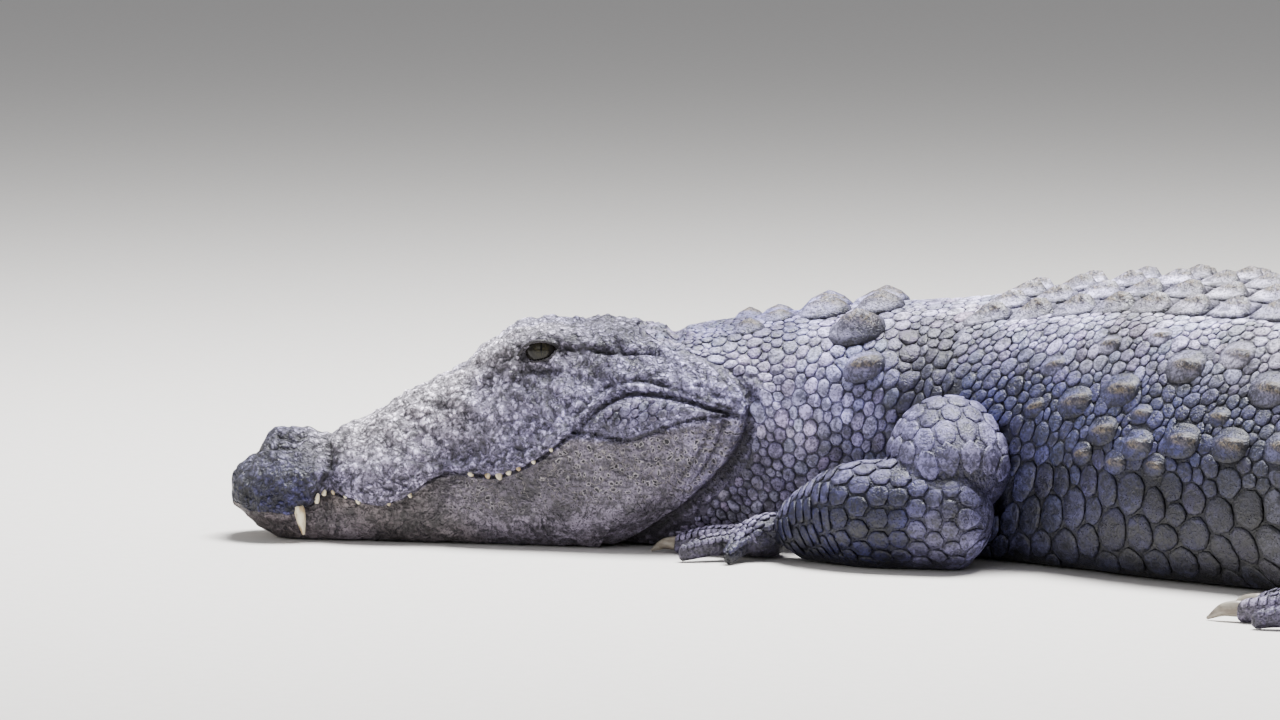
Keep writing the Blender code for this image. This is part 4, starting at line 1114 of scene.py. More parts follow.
# %% The tail, in rows
def lay_rows(piece, rows, marks, wide, rise, tilt):
    """Rows across the body at the places rows, each with cells about wide metres round, between two marks."""
    for side in (1, -1):
        spots, corners, heights = [], [], []
        for n, (start, end) in enumerate(zip(rows, rows[1:])):
            middle = (start + end) / 2
            low, high = (float(girth_at(middle, np.clip(m, 0, 6))) for m in marks(middle))
            if high - low < 0.006:
                continue
            number = max(1, round((high - low) / float(wide(middle))))
            for k in range(number):
                q = side * (low + (high - low) * (k + 0.5) / number)
                _, _, metre_a, metre_q = skin_frame(np.array(middle), np.array(q))
                slip = chance.uniform(-0.04, 0.04) * (end - start)
                half_long, half_round = (end - start) * metre_a / 2, (high - low) / number * metre_q / 2
                corner = brick(half_long - ROW_GAP, half_round - ROW_GAP)
                corner = corner * (1 + chance.uniform(-0.04, 0.02, (CORNERS, 1)))
                spots.append((middle + slip, q))
                corners.append(corner)
                heights.append(float(rise(middle)))
        lay_on_body(piece, np.array(spots), np.array(corners), np.array(heights), tilt)


SHIELD_START, SHIELD_END = 0.885, 1.885
CREST_ROWS, CREST_MERGE = 34, 2.72
tail_rows = SHIELD_END + (TAIL_TIP - SHIELD_END) / CREST_ROWS * np.arange(CREST_ROWS + 1)
tail_wide = profile((1.88, 0.036), (2.4, 0.031), (3.0, 0.023), (3.65, 0.012))
lay_rows("scales_tail", tail_rows, lambda a: (1.08 if a < CREST_MERGE else 0.35, 5.1), tail_wide,
         profile((1.88, 0.0062), (3.0, 0.005), (3.65, 0.0034)), 0.28)
print("rows on the tail:", CREST_ROWS)

# %% The pad behind the corner of the mouth
def on_pad(a, q):
    found = look(a, q)
    z = found[..., 2]
    low, high = (np.interp(a, *np.array(line).T) for line in (PAD_FOOT, PAD_TOP))
    return (a > 0.402) & (a < 0.58) & (z > low + 0.0045) & (z < high - 0.0045) & (found[..., 8] < 0.594)


for side in (1, -1):
    area = (0.38, 0.6, *sorted((side * 0.1, side * 0.28)))
    spots, size = scatter(area, on_pad, lambda a, q: 0.0125 + 0 * a)
    cells_, whole = cell_corners(spots, size, 0.0009)
    whole &= on_pad(*spots.T)
    lay_on_body("scales_cheek", spots[whole], cells_[whole] * 0.97, 0.0034, shade=0.36)
    print("scales on a cheek's pad:", int(whole.sum()))

# %% [markdown]
# ## Scales of the limbs
#
# Limb scales run in rows across the limb, like tiles: diamond-shaped on the upper arm, squarer on the
# forearm, narrow bands down to the wrist, and rings on each digit. They are laid out on each tube and drawn
# onto its skin.

# %% One tube's rows of tiles
def depth_in(points, tube):
    """How far points lie inside a tube, negative outside it."""
    axis = np.stack([curve(np.linspace(tube.ends[0], tube.length - tube.ends[1], 40))
                     for curve in tube.curves], 1)
    return (axis[:, 3:].mean(1) - np.linalg.norm(points[:, None] - axis[:, :3], axis=2)).max(1)


def lay_on_tube(piece, tube, tree, chart, others, span, pitch, wide, rise, spread=(0, 2 * math.pi), lock=0.3,
                tilt=0.25):
    """Rows of tiles on a tube between the shares of its length in span; spread is the arc that they cover."""
    centres, rings_, outs_, roots = [], [], [], []
    start, end = span[0] * tube.length, span[1] * tube.length
    rows_ = max(1, round((end - start) / pitch))
    for n in range(rows_):
        t = start + (end - start) * (n + 0.5) / rows_
        spot, _ = tube.at(t, np.linspace(*spread, 40))
        arc = np.linalg.norm(np.diff(spot, axis=0), axis=1).sum()
        number = max(1, round(arc / wide))
        full = spread[1] - spread[0] > 6.2
        for k in range(number):
            angle = spread[0] + (spread[1] - spread[0]) * (k + (0.5 + (n % 2) * 0.5 * (lock > 0))) / number
            if not full and angle > spread[1]:
                continue
            corner = brick((end - start) / rows_ / 2 - ROW_GAP, 0.5 - ROW_GAP / wide, lock)
            corner *= 1 + chance.uniform(-0.05, 0.03, (CORNERS, 1))
            ts = np.clip(t + corner[:, 0], 0.0015, tube.length - 0.0015)
            spot, out = tube.at(ts, angle + corner[:, 1] * (spread[1] - spread[0]) / number)
            back = -corner[:, :1] / abs(corner[:, 0]).max()
            centres.append(tube.at(t, angle)[0])
            rings_.append((spot, back))
            outs_.append(out)
            roots.append((chart[0] + 0.05 * (angle % (2 * math.pi)) / 6.3, chart[1] + 0.24 * t / 0.45))
    centres = np.array(centres)
    keep = centres[:, 2] > 0.004
    keep &= abs(body_gap(centres, tree)) < 0.008
    for other in others:
        keep &= depth_in(centres, other) < 0.0035
    keep &= body_gap(centres, body_tree) > 0.002
    made, outs, tones, root = [], [], [], []
    for n in np.flatnonzero(keep):
        spot, back = rings_[n]
        drawn, facing = [], []
        for point in spot:
            near, normal, _, _ = tree.find_nearest(Vector(point))
            drawn.append(near - normal * 0.0026)
            facing.append(normal)
        facing = unit(np.array(facing) * 0.5 + outs_[n] * 0.5)
        drawn = np.array(drawn) + facing * back * tilt * rise
        drawn[:, 2] = np.maximum(drawn[:, 2], LEAST_HEIGHT + rise * (-facing[:, 2]).clip(0))
        made.append(drawn)
        outs.append(facing)
        tones.append(limb_tone(centres[n], facing.mean(0)))
        root.append(roots[n])
    if made:
        tones = np.array(tones) * np.exp(chance.normal(0, 0.17, (len(made), 1)))
        keep_plates(piece, np.array(made), np.array(outs), np.full(len(made), rise), np.array(root), tones)
    return len(made)

# %% Tiles for arms, legs, palms and digits
for corner_, ((word, name), (tubes, _)) in enumerate(LIMBS.items()):
    tree = limb_trees[word, name]
    piece = f"scales_{'arm' if name == 'hand' else 'leg'}_{word}"
    big = 1.0 if name == "hand" else 1.25
    laid = 0
    for tube in tubes:
        on = (piece, tube, tree, (0.945, 0.01 + 0.247 * corner_), [t for t in tubes if t is not tube])
        if tube.kind == "upper":
            laid += lay_on_tube(*on, (0.06, 0.99), 0.0185 * big, 0.027 * big, 0.0038)
        elif tube.kind == "lower" and name == "hand":
            laid += lay_on_tube(*on, (0.03, 0.64), 0.019, 0.0245, 0.0036)
            laid += lay_on_tube(*on, (0.64, 0.99), 0.0115, 0.03, 0.0038, lock=0.12)
        elif tube.kind == "lower":
            laid += lay_on_tube(*on, (0.03, 0.97), 0.0195, 0.026, 0.0052)
        elif tube.kind == "palm":
            laid += lay_on_tube(*on, (0.05, 0.97), 0.0095 * big, 0.013 * big, 0.004, (0.2, math.pi - 0.2))
        else:
            laid += lay_on_tube(*on, (0.12, 0.94), 0.0082 * big, 0.0125 * big, 0.0034, (0.1, math.pi - 0.1),
                                0.0)
    print("scales on the", word, "arm" if name == "hand" else "leg", laid)

# %% [markdown]
# ## Finishes
#
# Hide is matt and never one colour. Its shader starts from the tone stored on each point, mottles it at three
# sizes, paints shade between scales and in folds and light on the tops of scales and knobs, and adds pores
# and fine cracks where the skin is bare. All of its patterns read Object coordinates, so that they stay on
# the animal.

# %% A small kit that adds nodes
class Nodes:
    """Adds nodes to a tree, and links or sets their inputs by name, or by number as i0, i1 and so on."""

    def __init__(self, tree, prefix=""):
        self.tree, self.prefix = tree, prefix

    def add(self, kind, settings=None, **inputs):
        node = self.tree.nodes.new(self.prefix + kind)
        for key, value in (settings or {}).items():
            setattr(node, key, value)
        for key, value in inputs.items():
            self.put(node, int(key[1:]) if key[0] == "i" and key[1:].isdigit() else key.replace("_", " "),
                     value)
        return node

    def put(self, node, key, value):
        if isinstance(value, bpy.types.NodeSocket):
            self.tree.links.new(value, node.inputs[key])
        else:
            node.inputs[key].default_value = value


class Shader(Nodes):
    """A material, with the patterns that this hide needs."""

    def __init__(self, name):
        self.material = bpy.data.materials.new(name)
        self.material.use_nodes = True
        super().__init__(self.material.node_tree, "ShaderNode")
        self.base = self.tree.nodes["Principled BSDF"]

    def attribute(self, name, output="Fac"):
        return self.add("Attribute", {"attribute_name": name}).outputs[output]

    def place(self, stretch=(1, 1, 1)):
        spot = self.add("TexCoord").outputs["Object"]
        return self.add("Mapping", i0=spot, i3=stretch).outputs[0] if stretch != (1, 1, 1) else spot

    def noise(self, scale, detail=3.0, stretch=(1, 1, 1), distortion=0.0):
        return self.add("TexNoise", Vector=self.place(stretch), Scale=scale, Detail=detail,
                        Distortion=distortion).outputs[0]

    def cells(self, scale, spot=None):
        return self.add("TexVoronoi", Vector=spot or self.place(), Scale=scale).outputs[0]

    def remap(self, value, low, high, to_low=0.0, to_high=1.0):
        node = self.add("MapRange", {"interpolation_type": "SMOOTHSTEP"}, i0=value, i1=low, i2=high,
                        i3=to_low, i4=to_high)
        return node.outputs[0]

    def maths(self, operation, a, b=0.0):
        return self.add("Math", {"operation": operation}, i0=a, i1=b).outputs[0]

    def times(self, a, b):
        return self.maths("MULTIPLY", a, b)

    def mix(self, share, a, b, blend="MIX"):
        node = self.add("Mix", {"data_type": "RGBA", "blend_type": blend}, i0=share, i6=a, i7=b)
        return node.outputs[2]

    def bump(self, height, strength, distance):
        node = self.add("Bump", Height=height, Strength=strength, Distance=distance)
        self.tree.links.new(node.outputs[0], self.base.inputs["Normal"])

# %% The hide's own finish
def rgba(colour):
    return (*map(float, colour), 1.0)


def hide_finish():
    s = Shader("hide")
    big, mid = s.noise(16, 5), s.noise(90, 6, distortion=0.8)
    fine = s.noise(340, 4, distortion=0.4)
    stir = s.add("TexNoise", Vector=s.place(), Scale=70, Detail=3).outputs["Color"]
    stir = s.add("VectorMath", {"operation": "SCALE"}, i0=stir, Scale=0.016).outputs[0]
    bent = s.add("VectorMath", {"operation": "ADD"}, i0=s.place(), i1=stir).outputs[0]
    pebble = s.remap(s.cells(135, bent), 0.15, 0.6, 1.0, 0.0)
    streak = s.noise(48, 4, stretch=(0.55, 0.55, 2.2), distortion=0.5)
    crown, hollow_shade_, bare = s.attribute("crown"), s.attribute("crease"), s.attribute("bare")
    rugged, keel, pores = s.attribute("rugged"), s.attribute("keel"), s.attribute("pores")
    colour = s.mix(1.0, s.attribute("tone", "Color"), s.remap(big, 0.34, 0.66, 0.58, 1.3), "MULTIPLY")
    tint = s.mix(s.remap(s.noise(7, 2), 0.4, 0.62), (1.01, 0.98, 0.95, 1), (0.98, 0.96, 1.09, 1))
    colour = s.mix(1.0, colour, tint, "MULTIPLY")
    rough_ = s.maths("ADD", s.times(mid, 0.55), s.times(fine, 0.45))
    # on rugged skin: mottling, with painted shade round each knob and painted light on its top
    mottle_and_knob_shade = s.times(s.remap(rough_, 0.43, 0.57, 0.42, 1.64), s.remap(pebble, 0.0, 0.8, 0.38, 1.36))
    plain = s.times(s.remap(rough_, 0.42, 0.58, 0.42, 1.5), s.remap(streak, 0.42, 0.58, 0.76, 1.18))
    colour = s.mix(1.0, colour, s.add("Mix", i0=rugged, i2=plain, i3=mottle_and_knob_shade).outputs[0], "MULTIPLY")
    pit = s.times(s.remap(s.cells(300), 0.12, 0.3, 1.0, 0.0), s.remap(mid, 0.46, 0.56))
    colour = s.mix(s.times(pit, 0.55), colour, rgba(paint(38, 36, 50)))
    wander = s.maths("ABSOLUTE", s.maths("SUBTRACT", s.noise(34, 5, distortion=1.4), 0.5))
    line = s.times(s.remap(wander, 0.0, 0.014, 1.0, 0.0), bare)
    colour = s.mix(s.times(line, 0.75), colour,
                   s.mix(pores, rgba(paint(40, 38, 50)), rgba(paint(178, 170, 172))))
    side_on = s.add("Mapping", i0=bent, i2=(math.pi / 2, 0, 0)).outputs[0]
    pore = s.add("TexVoronoi", {"voronoi_dimensions": "2D"}, Vector=side_on, Scale=105).outputs[0]
    pores = s.times(pores, s.remap(big, 0.38, 0.5))
    dot = s.times(s.remap(pore, 0.1, 0.17, 1.0, 0.0), pores)
    ring = s.times(s.remap(pore, 0.14, 0.2), s.remap(pore, 0.22, 0.3, 1.0, 0.0))
    colour = s.mix(s.times(s.times(ring, pores), 0.5), colour, rgba(paint(196, 190, 192)))
    colour = s.mix(s.times(dot, 0.9), colour, rgba(paint(26, 24, 30)))
    horn_ = s.mix(s.remap(fine, 0.4, 0.6), rgba(paint(44, 41, 48)), rgba(paint(104, 93, 78)))
    colour = s.mix(s.times(s.remap(keel, 0.08, 0.5), s.remap(mid, 0.36, 0.56, 0.35, 0.95)), colour, horn_)
    # painted shade low on each scale and on the skin between scales, painted light on each scale's top
    colour = s.mix(1.0, colour, s.remap(crown, 0.0, 0.95, 0.07, 1.1), "MULTIPLY")
    # painted shade in folds and hollows
    colour = s.mix(s.times(hollow_shade_, 0.88), colour, rgba(paint(26, 23, 28)))
    s.put(s.base, "Base Color", colour)
    s.put(s.base, "Roughness", s.remap(mid, 0.3, 0.7, 0.34, 0.64))
    s.base.inputs["Specular IOR Level"].default_value = 0.5
    height = s.times(rough_, s.remap(rugged, 0.0, 1.0, 0.7, 1.5))
    height = s.maths("ADD", height, s.times(pebble, s.times(rugged, 0.6)))
    height = s.maths("ADD", height, s.times(streak, s.times(bare, 0.8)))
    for cut, deep in ((line, 0.4), (dot, 0.6), (pit, 0.35)):
        height = s.maths("SUBTRACT", height, s.times(cut, deep))
    s.bump(height, 1.0, 0.005)
    return s.material


HIDE = hide_finish()
print("nodes in the hide's shader:", len(HIDE.node_tree.nodes))

# %% Horn, tooth and eye finishes
def horn_finish():
    s = Shader("claw_horn")
    streak = s.noise(180, 3, stretch=(0.35, 0.35, 1.0))
    spot = s.noise(45, 3)
    colour = s.mix(s.remap(streak, 0.35, 0.65), rgba(paint(156, 149, 136)), rgba(paint(112, 101, 88)))
    colour = s.mix(s.times(s.remap(spot, 0.45, 0.62), 0.6), colour, rgba(paint(92, 82, 76)))
    s.put(s.base, "Base Color", colour)
    s.put(s.base, "Roughness", s.remap(streak, 0.3, 0.7, 0.32, 0.5))
    s.bump(streak, 0.3, 0.0006)
    return s.material


def tooth_finish():
    s = Shader("tooth")
    stain_and_shade = s.noise(120, 3, stretch=(1, 1, 0.4))
    colour = s.mix(s.remap(stain_and_shade, 0.4, 0.65), rgba(paint(222, 212, 184)), rgba(paint(160, 138, 104)))
    s.put(s.base, "Base Color", colour)
    s.put(s.base, "Roughness", s.remap(stain_and_shade, 0.3, 0.7, 0.22, 0.42))
    s.bump(stain_and_shade, 0.2, 0.0004)
    return s.material


def eye_finish():
    """Olive iris with dark flecks and an upright slit, drawn from the place on the ball."""
    s = Shader("eye")
    split = s.add("SeparateXYZ", i0=s.add("UVMap", {"uv_map": "iris"}).outputs[0])
    across, up = split.outputs[0], split.outputs[1]
    radius = s.maths("SQRT", s.maths("ADD", s.times(across, across), s.times(up, up)))
    fleck = s.noise(520, 4, distortion=0.6)
    iris = s.mix(s.remap(fleck, 0.35, 0.65), rgba(paint(50, 47, 34)), rgba(paint(24, 22, 18)))
    iris = s.mix(s.remap(radius, 0.3, 0.62), iris, rgba(paint(22, 20, 18)))
    slit = s.maths("ADD", s.maths("ABSOLUTE", across), s.times(s.times(up, up), 0.22))
    colour = s.mix(s.remap(slit, 0.045, 0.075), rgba(paint(8, 8, 8)), iris)
    colour = s.mix(s.remap(radius, 0.7, 0.8), colour, rgba(paint(24, 22, 20)))
    s.put(s.base, "Base Color", colour)
    s.base.inputs["Roughness"].default_value = 0.12
    s.base.inputs["Specular IOR Level"].default_value = 0.2
    s.bump(fleck, 0.06, 0.0003)
    return s.material


HORN, TOOTH, EYE = horn_finish(), tooth_finish(), eye_finish()
print("finishes:", [m.name for m in (HIDE, HORN, TOOTH, EYE)])

# %% [markdown]
# ## Raising the scales
#
# Each cell of the net becomes a low dome. Geometry Nodes extrude every cell outward, draw its top in, and do
# it again, so one tree makes thousands of scales, and its inputs say how steep their sides and how wide their
# tops are.

# %% A tree with named inputs
class Tree(Nodes):
    """A Geometry Nodes tree with named inputs."""

    def __init__(self, name, inputs):
        super().__init__(bpy.data.node_groups.new(name, "GeometryNodeTree"))
        self.tree.is_modifier = True
        face = self.tree.interface
        face.new_socket("Geometry", in_out="INPUT", socket_type="NodeSocketGeometry")
        face.new_socket("Geometry", in_out="OUTPUT", socket_type="NodeSocketGeometry")
        self.ids = {}
        for label, kind in inputs:
            self.ids[label] = face.new_socket(label, in_out="INPUT",
                                              socket_type="NodeSocket" + kind).identifier
        self.source = self.tree.nodes.new("NodeGroupInput").outputs
        self.sink = self.tree.nodes.new("NodeGroupOutput")

    def named(self, name, kind="FLOAT"):
        node = self.add("GeometryNodeInputNamedAttribute", {"data_type": kind}, Name=name)
        return next(o for o in node.outputs if o.enabled and o.name == "Attribute")

    def keep(self, geometry, name, value, selection=None):
        extra = {} if selection is None else {"Selection": selection}
        node = self.add("GeometryNodeStoreNamedAttribute", {"data_type": "FLOAT", "domain": "POINT"},
                        Geometry=geometry, Name=name, **extra)
        next(i for i in node.inputs if i.enabled and i.name == "Value").default_value = value
        return node.outputs[0]

    def finish(self, geometry):
        real = self.add("GeometryNodeRealizeInstances", Geometry=geometry).outputs[0]
        done = self.add("GeometryNodeSetMaterial", Geometry=real, Material=self.source["Finish"]).outputs[0]
        self.tree.links.new(done, self.sink.inputs[0])

    def apply(self, obj, **values):
        """Runs the tree on an object once and leaves plain mesh."""
        modifier = obj.modifiers.new("tree", "NODES")
        modifier.node_group = self.tree
        for label, value in values.items():
            modifier[self.ids[label]] = value
        return settle(obj)

# %% The tree that raises scales
raising = Tree("raise scales",
               (("Rise", "Float"), ("Shoulder", "Float"), ("Crown", "Float"), ("Finish", "Material")))
# each ring of a scale keeps its crown, which the hide's finish turns into painted shade low down and painted
# light on top
geometry = raising.keep(raising.source["Geometry"], "crown", 0.0)
start_faces = raising.add("GeometryNodeFlipFaces", Mesh=geometry).outputs[0]
rise_out = raising.named("out", "FLOAT_VECTOR")
for scale in (raising.named("rise"), raising.source["Rise"]):
    rise_out = raising.add("ShaderNodeVectorMath", {"operation": "SCALE"}, i0=rise_out,
                           Scale=scale).outputs[0]
top = None
for share, crown_, width in ((0.62, 0.7, raising.source["Shoulder"]), (0.28, 0.9, raising.source["Crown"]),
                             (0.1, 1.0, 0.55)):
    offset = raising.add("ShaderNodeVectorMath", {"operation": "SCALE"}, i0=rise_out, Scale=share).outputs[0]
    more = {} if top is None else {"Selection": top}
    lift = raising.add("GeometryNodeExtrudeMesh", {"mode": "FACES"}, Mesh=geometry, Offset=offset,
                       Offset_Scale=1.0, Individual=True, **more)
    top = lift.outputs["Top"]
    geometry = raising.keep(lift.outputs["Mesh"], "crown", crown_, top)
    geometry = raising.add("GeometryNodeScaleElements", {"domain": "FACE"}, Geometry=geometry, Selection=top,
                           Scale=width).outputs[0]
joined = raising.add("GeometryNodeJoinGeometry")
for part_ in (start_faces, geometry):
    raising.tree.links.new(part_, joined.inputs[0])
raising.finish(raising.add("GeometryNodeMergeByDistance", Geometry=joined.outputs[0],
                           Distance=0.00001).outputs[0])
print("nodes in the tree:", len(raising.tree.nodes))

# %% Make the net of each piece of the coat and raise it
def net_object(name, rings_, outs, rise, root, tone):
    number = len(rings_)
    obj = new_object(name, rings_.reshape(-1, 3), np.arange(number * CORNERS).reshape(number, CORNERS))
    mesh = obj.data
    store(mesh, "out", outs, "FLOAT_VECTOR")
    store(mesh, "rise", rise, domain="FACE")
    store(mesh, "tone", tone.repeat(CORNERS, 0), "FLOAT_COLOR")
    angle = np.linspace(0, 2 * np.pi, CORNERS, endpoint=False)
    patch = root[:, None] + np.stack([np.cos(angle), np.sin(angle)], -1) * 0.0015
    mesh.uv_layers.new(name="OFBake").data.foreach_set("uv", patch.ravel())
    return obj


def facing_out(rings_, outs):
    """Turns the rings whose corners run the wrong way round."""
    edge = rings_[:, [4, 8]] - rings_[:, :1]
    wrong = (np.cross(edge[:, 0], edge[:, 1]) * outs.mean(1)).sum(1) < 0
    rings_[wrong], outs[wrong] = rings_[wrong, ::-1], outs[wrong, ::-1]
    return rings_, outs


scale_objects = {}
for piece, stores in coat.items():
    rings_, outs, rise, root, tone = (np.concatenate(kept) for kept in stores)
    rings_, outs = facing_out(rings_, outs)
    made = net_object(piece, rings_, outs, rise, root, tone)
    raising.apply(made, Rise=1.0, Shoulder=0.95, Crown=0.84, Finish=HIDE)
    made.data.shade_smooth()
    scale_objects[piece] = made
    print(piece, len(rings_), "scales,", sum(len(p.vertices) - 2 for p in made.data.polygons), "triangles")

# %% [markdown]
# ## Keeled shields, and the crest of the tail
#
# Bony shields lie in rows along the back, six across, each with a keel that rises towards its rear. On the
# tail the outer keels grow into two crests, which join into one. One shield and one crest blade are modelled
# with few faces, and Geometry Nodes set a copy at each place, turned and stretched to fit.

# %% One shield and one blade, a metre long each
def keeled_shield(ridge, low, width, mid):
    """A rounded square from -0.5 to 0.5, with a ridge along X that is highest towards the tail."""
    angle = np.linspace(0, 2 * np.pi, 16, endpoint=False)
    cosine, sine = np.cos(angle), np.sin(angle)
    power = 4.0 if width < 0.2 else 2.3
    reach_ = (abs(cosine) ** power + abs(sine) ** power) ** (-1 / power)
    verts, crowns, keels = [], [], []
    for radius, height, crown_ in ((0.5, -0.25, 0.0), (0.485, low * 0.5, 0.26), (0.37, low, 0.6),
                                   (0.19, mid, 0.95)):
        x, y = cosine * reach_ * radius, sine * reach_ * radius
        keel = ((1 - abs(y) / width).clip(0)
                * np.interp(x, (-0.5, -0.36, 0.14, 0.34, 0.5), (0, 0.12, 0.85, 0.9, 0.1)) * ridge)
        verts += np.stack([x, y, height + keel * (radius < 0.48)], 1).tolist()
        crowns += [crown_] * 16
        keels += (keel / ridge * (radius < 0.48)).tolist()
    verts += [(0, 0, -0.25), (0.12, 0, 1.0)]
    return template("one_shield", verts, ring_faces(4, 16, flip=True), crowns + [0.0, 1.0],
                    keels + [0.0, 1.0])


def crest_blade():
    """An upright blade, thick at its root, with its point towards the tail."""
    profile_ = ((-0.52, 0.0), (-0.3, 0.3), (0.0, 0.62), (0.28, 0.9), (0.46, 1.0), (0.54, 0.62), (0.52, 0.0))
    verts, crowns = [], []
    for x, z in profile_:
        for y, share in ((0.5, 0.0), (0.3, 0.45), (0.04, 1.0), (-0.04, 1.0), (-0.3, 0.45), (-0.5, 0.0)):
            verts.append((x * (1 - 0.12 * share), y * (1 - 0.35 * abs(x)), z * share - 0.16 * (share == 0)))
            crowns.append(0.25 + 0.75 * share if z else 0.2 * share)
    faces = ring_faces(7, 6, tips=False, flip=True) + [(5, 4, 3, 2, 1, 0), tuple(range(36, 42))]
    return template("one_blade", verts, faces, crowns, [v[2] * 0.6 for v in verts])


def template(name, verts, faces, crowns, keels):
    obj = face_outward(new_object(name, verts, faces))
    # crowns become painted shade low on each copy and painted light on its top
    for label, values in (("crown", crowns), ("keel", keels)):
        store(obj.data, label, np.clip(values, 0, 1))
    return obj


SHIELD = keeled_shield(0.86, 0.22, 0.18, 0.27)
CONE, BOSS = keeled_shield(0.42, 0.24, 0.34, 0.56), keeled_shield(0.66, 0.22, 0.24, 0.34)
BLADE = crest_blade()
print("faces of a shield:", len(SHIELD.data.polygons), "of a blade:", len(BLADE.data.polygons))

# %% The tree that sets a copy at each place
setting = Tree("set copies", (("Copy", "Object"), ("Finish", "Material")))
copy_of = setting.add("GeometryNodeObjectInfo", {"transform_space": "ORIGINAL"},
                      Object=setting.source["Copy"])
turn_ = setting.add("FunctionNodeEulerToRotation", Euler=setting.named("turn", "FLOAT_VECTOR")).outputs[0]
set_ = setting.add("GeometryNodeInstanceOnPoints", Points=setting.source["Geometry"], Rotation=turn_,
                   Instance=copy_of.outputs["Geometry"], Scale=setting.named("size", "FLOAT_VECTOR"))
setting.finish(set_.outputs[0])


def set_copies(name, copy_, spots, size, lean, shade):
    """spots are (along, girth), size is (long, wide, high), and lean tips a copy's rear up, in degrees."""
    spots, size = np.array(spots, float), np.array(size, float)
    lean, shade = np.broadcast_to(lean, len(spots)), np.broadcast_to(shade, len(spots))
    centre_, normal, _, _ = skin_frame(*spots.T)
    ahead = on_skin(spots[:, 0] + 0.01, spots[:, 1]) - on_skin(spots[:, 0] - 0.01, spots[:, 1])
    turns = []
    for point, up, front, tip in zip(centre_, normal, ahead, lean):
        up = Vector(up)
        front = Vector(front) - Vector(front).dot(up) * up
        front.normalize()
        frame_ = (Matrix((front, up.cross(front), up)).transposed()
                  @ Matrix.Rotation(-math.radians(tip), 3, "Y"))
        turns.append(frame_.to_euler())
    obj = new_object(name, centre_, [])
    mesh = obj.data
    store(mesh, "turn", np.array(turns), "FLOAT_VECTOR")
    store(mesh, "size", size, "FLOAT_VECTOR")
    tone = (tone_at(spots[:, 0], look(*spots.T)[:, 6]) * shade[:, None]
            * np.exp(chance.normal(0, 0.13, (len(spots), 1))))
    store(mesh, "tone", tone, "FLOAT_COLOR")
    setting.apply(obj, Copy=copy_, Finish=HIDE)
    mesh = obj.data
    mesh.shade_smooth()
    corner_of = np.empty(len(mesh.loops), int)
    mesh.loops.foreach_get("vertex_index", corner_of)
    each = len(copy_.data.vertices)
    local, _ = mesh_arrays(copy_.data)
    patch = bake_root(spots)[corner_of // each] + local[corner_of % each, :2] * 0.003
    mesh.uv_layers.new(name="OFBake").data.foreach_set("uv", patch.ravel())
    scale_objects[name] = obj
    print(name, len(spots), "copies,", sum(len(p.vertices) - 2 for p in mesh.polygons), "triangles")

# %% Rows of shields on the back, with nuchal shields on the neck
SHIELD_ROWS = 16
row_long = (SHIELD_END - SHIELD_START) / SHIELD_ROWS
spots, size, shade = [], [], []
for row in range(SHIELD_ROWS + 1):
    a = SHIELD_START + row_long * (row + 0.5)
    edge = float(girth_at(a, 1.02))
    across = 3 if edge > 0.085 else 2
    for n in range(row == SHIELD_ROWS, across):
        for side in (1, -1):
            wide = edge / across
            # each row's ends reach forward
            spots.append((a - 0.3 * wide * (n + 0.5), side * wide * (n + 0.5)))
            size.append((row_long * 0.935, wide * 0.92, 0.0165 + 0.002 * (n == across - 1)))
            shade.append(0.82 - 0.3 * (n == across - 1) - 0.12 * (n == across - 2))
set_copies("scales_shield", SHIELD, spots, size, 2.0, shade)
set_copies("scales_nuchal", CONE, [(a, q) for a, q, *_ in nuchals],
           [(long, wide, rise * 1.15 + 0.002) for _, _, long, wide, rise in nuchals], 5.0, 0.85)
set_copies("scales_flank_shields", BOSS, [(a, q) for a, q, *_ in flank_keels],
           [(long, wide, rise) for _, _, long, wide, rise in flank_keels], 3.0, 1.15)

# %% Crests of the tail
crest_rise = profile((1.8, 0.012), (2.0, 0.018), (2.4, 0.028), (2.7, 0.04), (3.2, 0.042), (3.62, 0.02))
spots, size = [], []
for a0, a1 in zip(tail_rows, tail_rows[1:]):
    a = a0 + (a1 - a0) * 0.55
    if a > TAIL_TIP - 0.03:
        continue
    for side in ((1, -1) if a < CREST_MERGE else (1,)):
        q = side * float(girth_at(a, 1.0)) if a < CREST_MERGE else 0.0
        spots.append((a, q))
        size.append(((a1 - a0) * 0.98, 0.017 if a < CREST_MERGE else 0.013, float(crest_rise(a)) + 0.003))
set_copies("scales_crest", BLADE, spots, size, 0.0, 0.85)
spots, size = [], []
for a0, a1 in zip(tail_rows, tail_rows[1:]):
    a, edge = (a0 + a1) / 2, float(girth_at((a0 + a1) / 2, 0.8))
    if a > CREST_MERGE:
        continue
    across = 2 if edge > 0.045 else 1
    for n in range(across):
        for side in (1, -1):
            spots.append((a, side * edge * (n + 0.5) / across))
            size.append(((a1 - a0) * 0.95, edge / across * 0.93, 0.009))
set_copies("scales_tail_top", SHIELD, spots, size, 2.0, 0.95)
for obj in (SHIELD, CONE, BOSS, BLADE):
    bpy.data.objects.remove(obj)

# %% [markdown]
# ## Joining the skin
#
# The limbs' skins and the body's become one mesh, which stands for every fleshy solid. Each point stores its
# tone, the shade painted into its folds and hollows, and whether it is bare skin or lies under scales.

# %% Join body and limbs, and store what the finish reads
verts = np.array([v.co[:] for v in body.data.vertices])
faces = [tuple(p.vertices) for p in body.data.polygons]
tone = tone_at(skin_along, skin_where)
bare = fade(skin_station - coat_edge(skin_where), -0.004, 0.01)
DROP, CLAW_DROP = 0.0052, 0.0022  # how far soles and claws come down
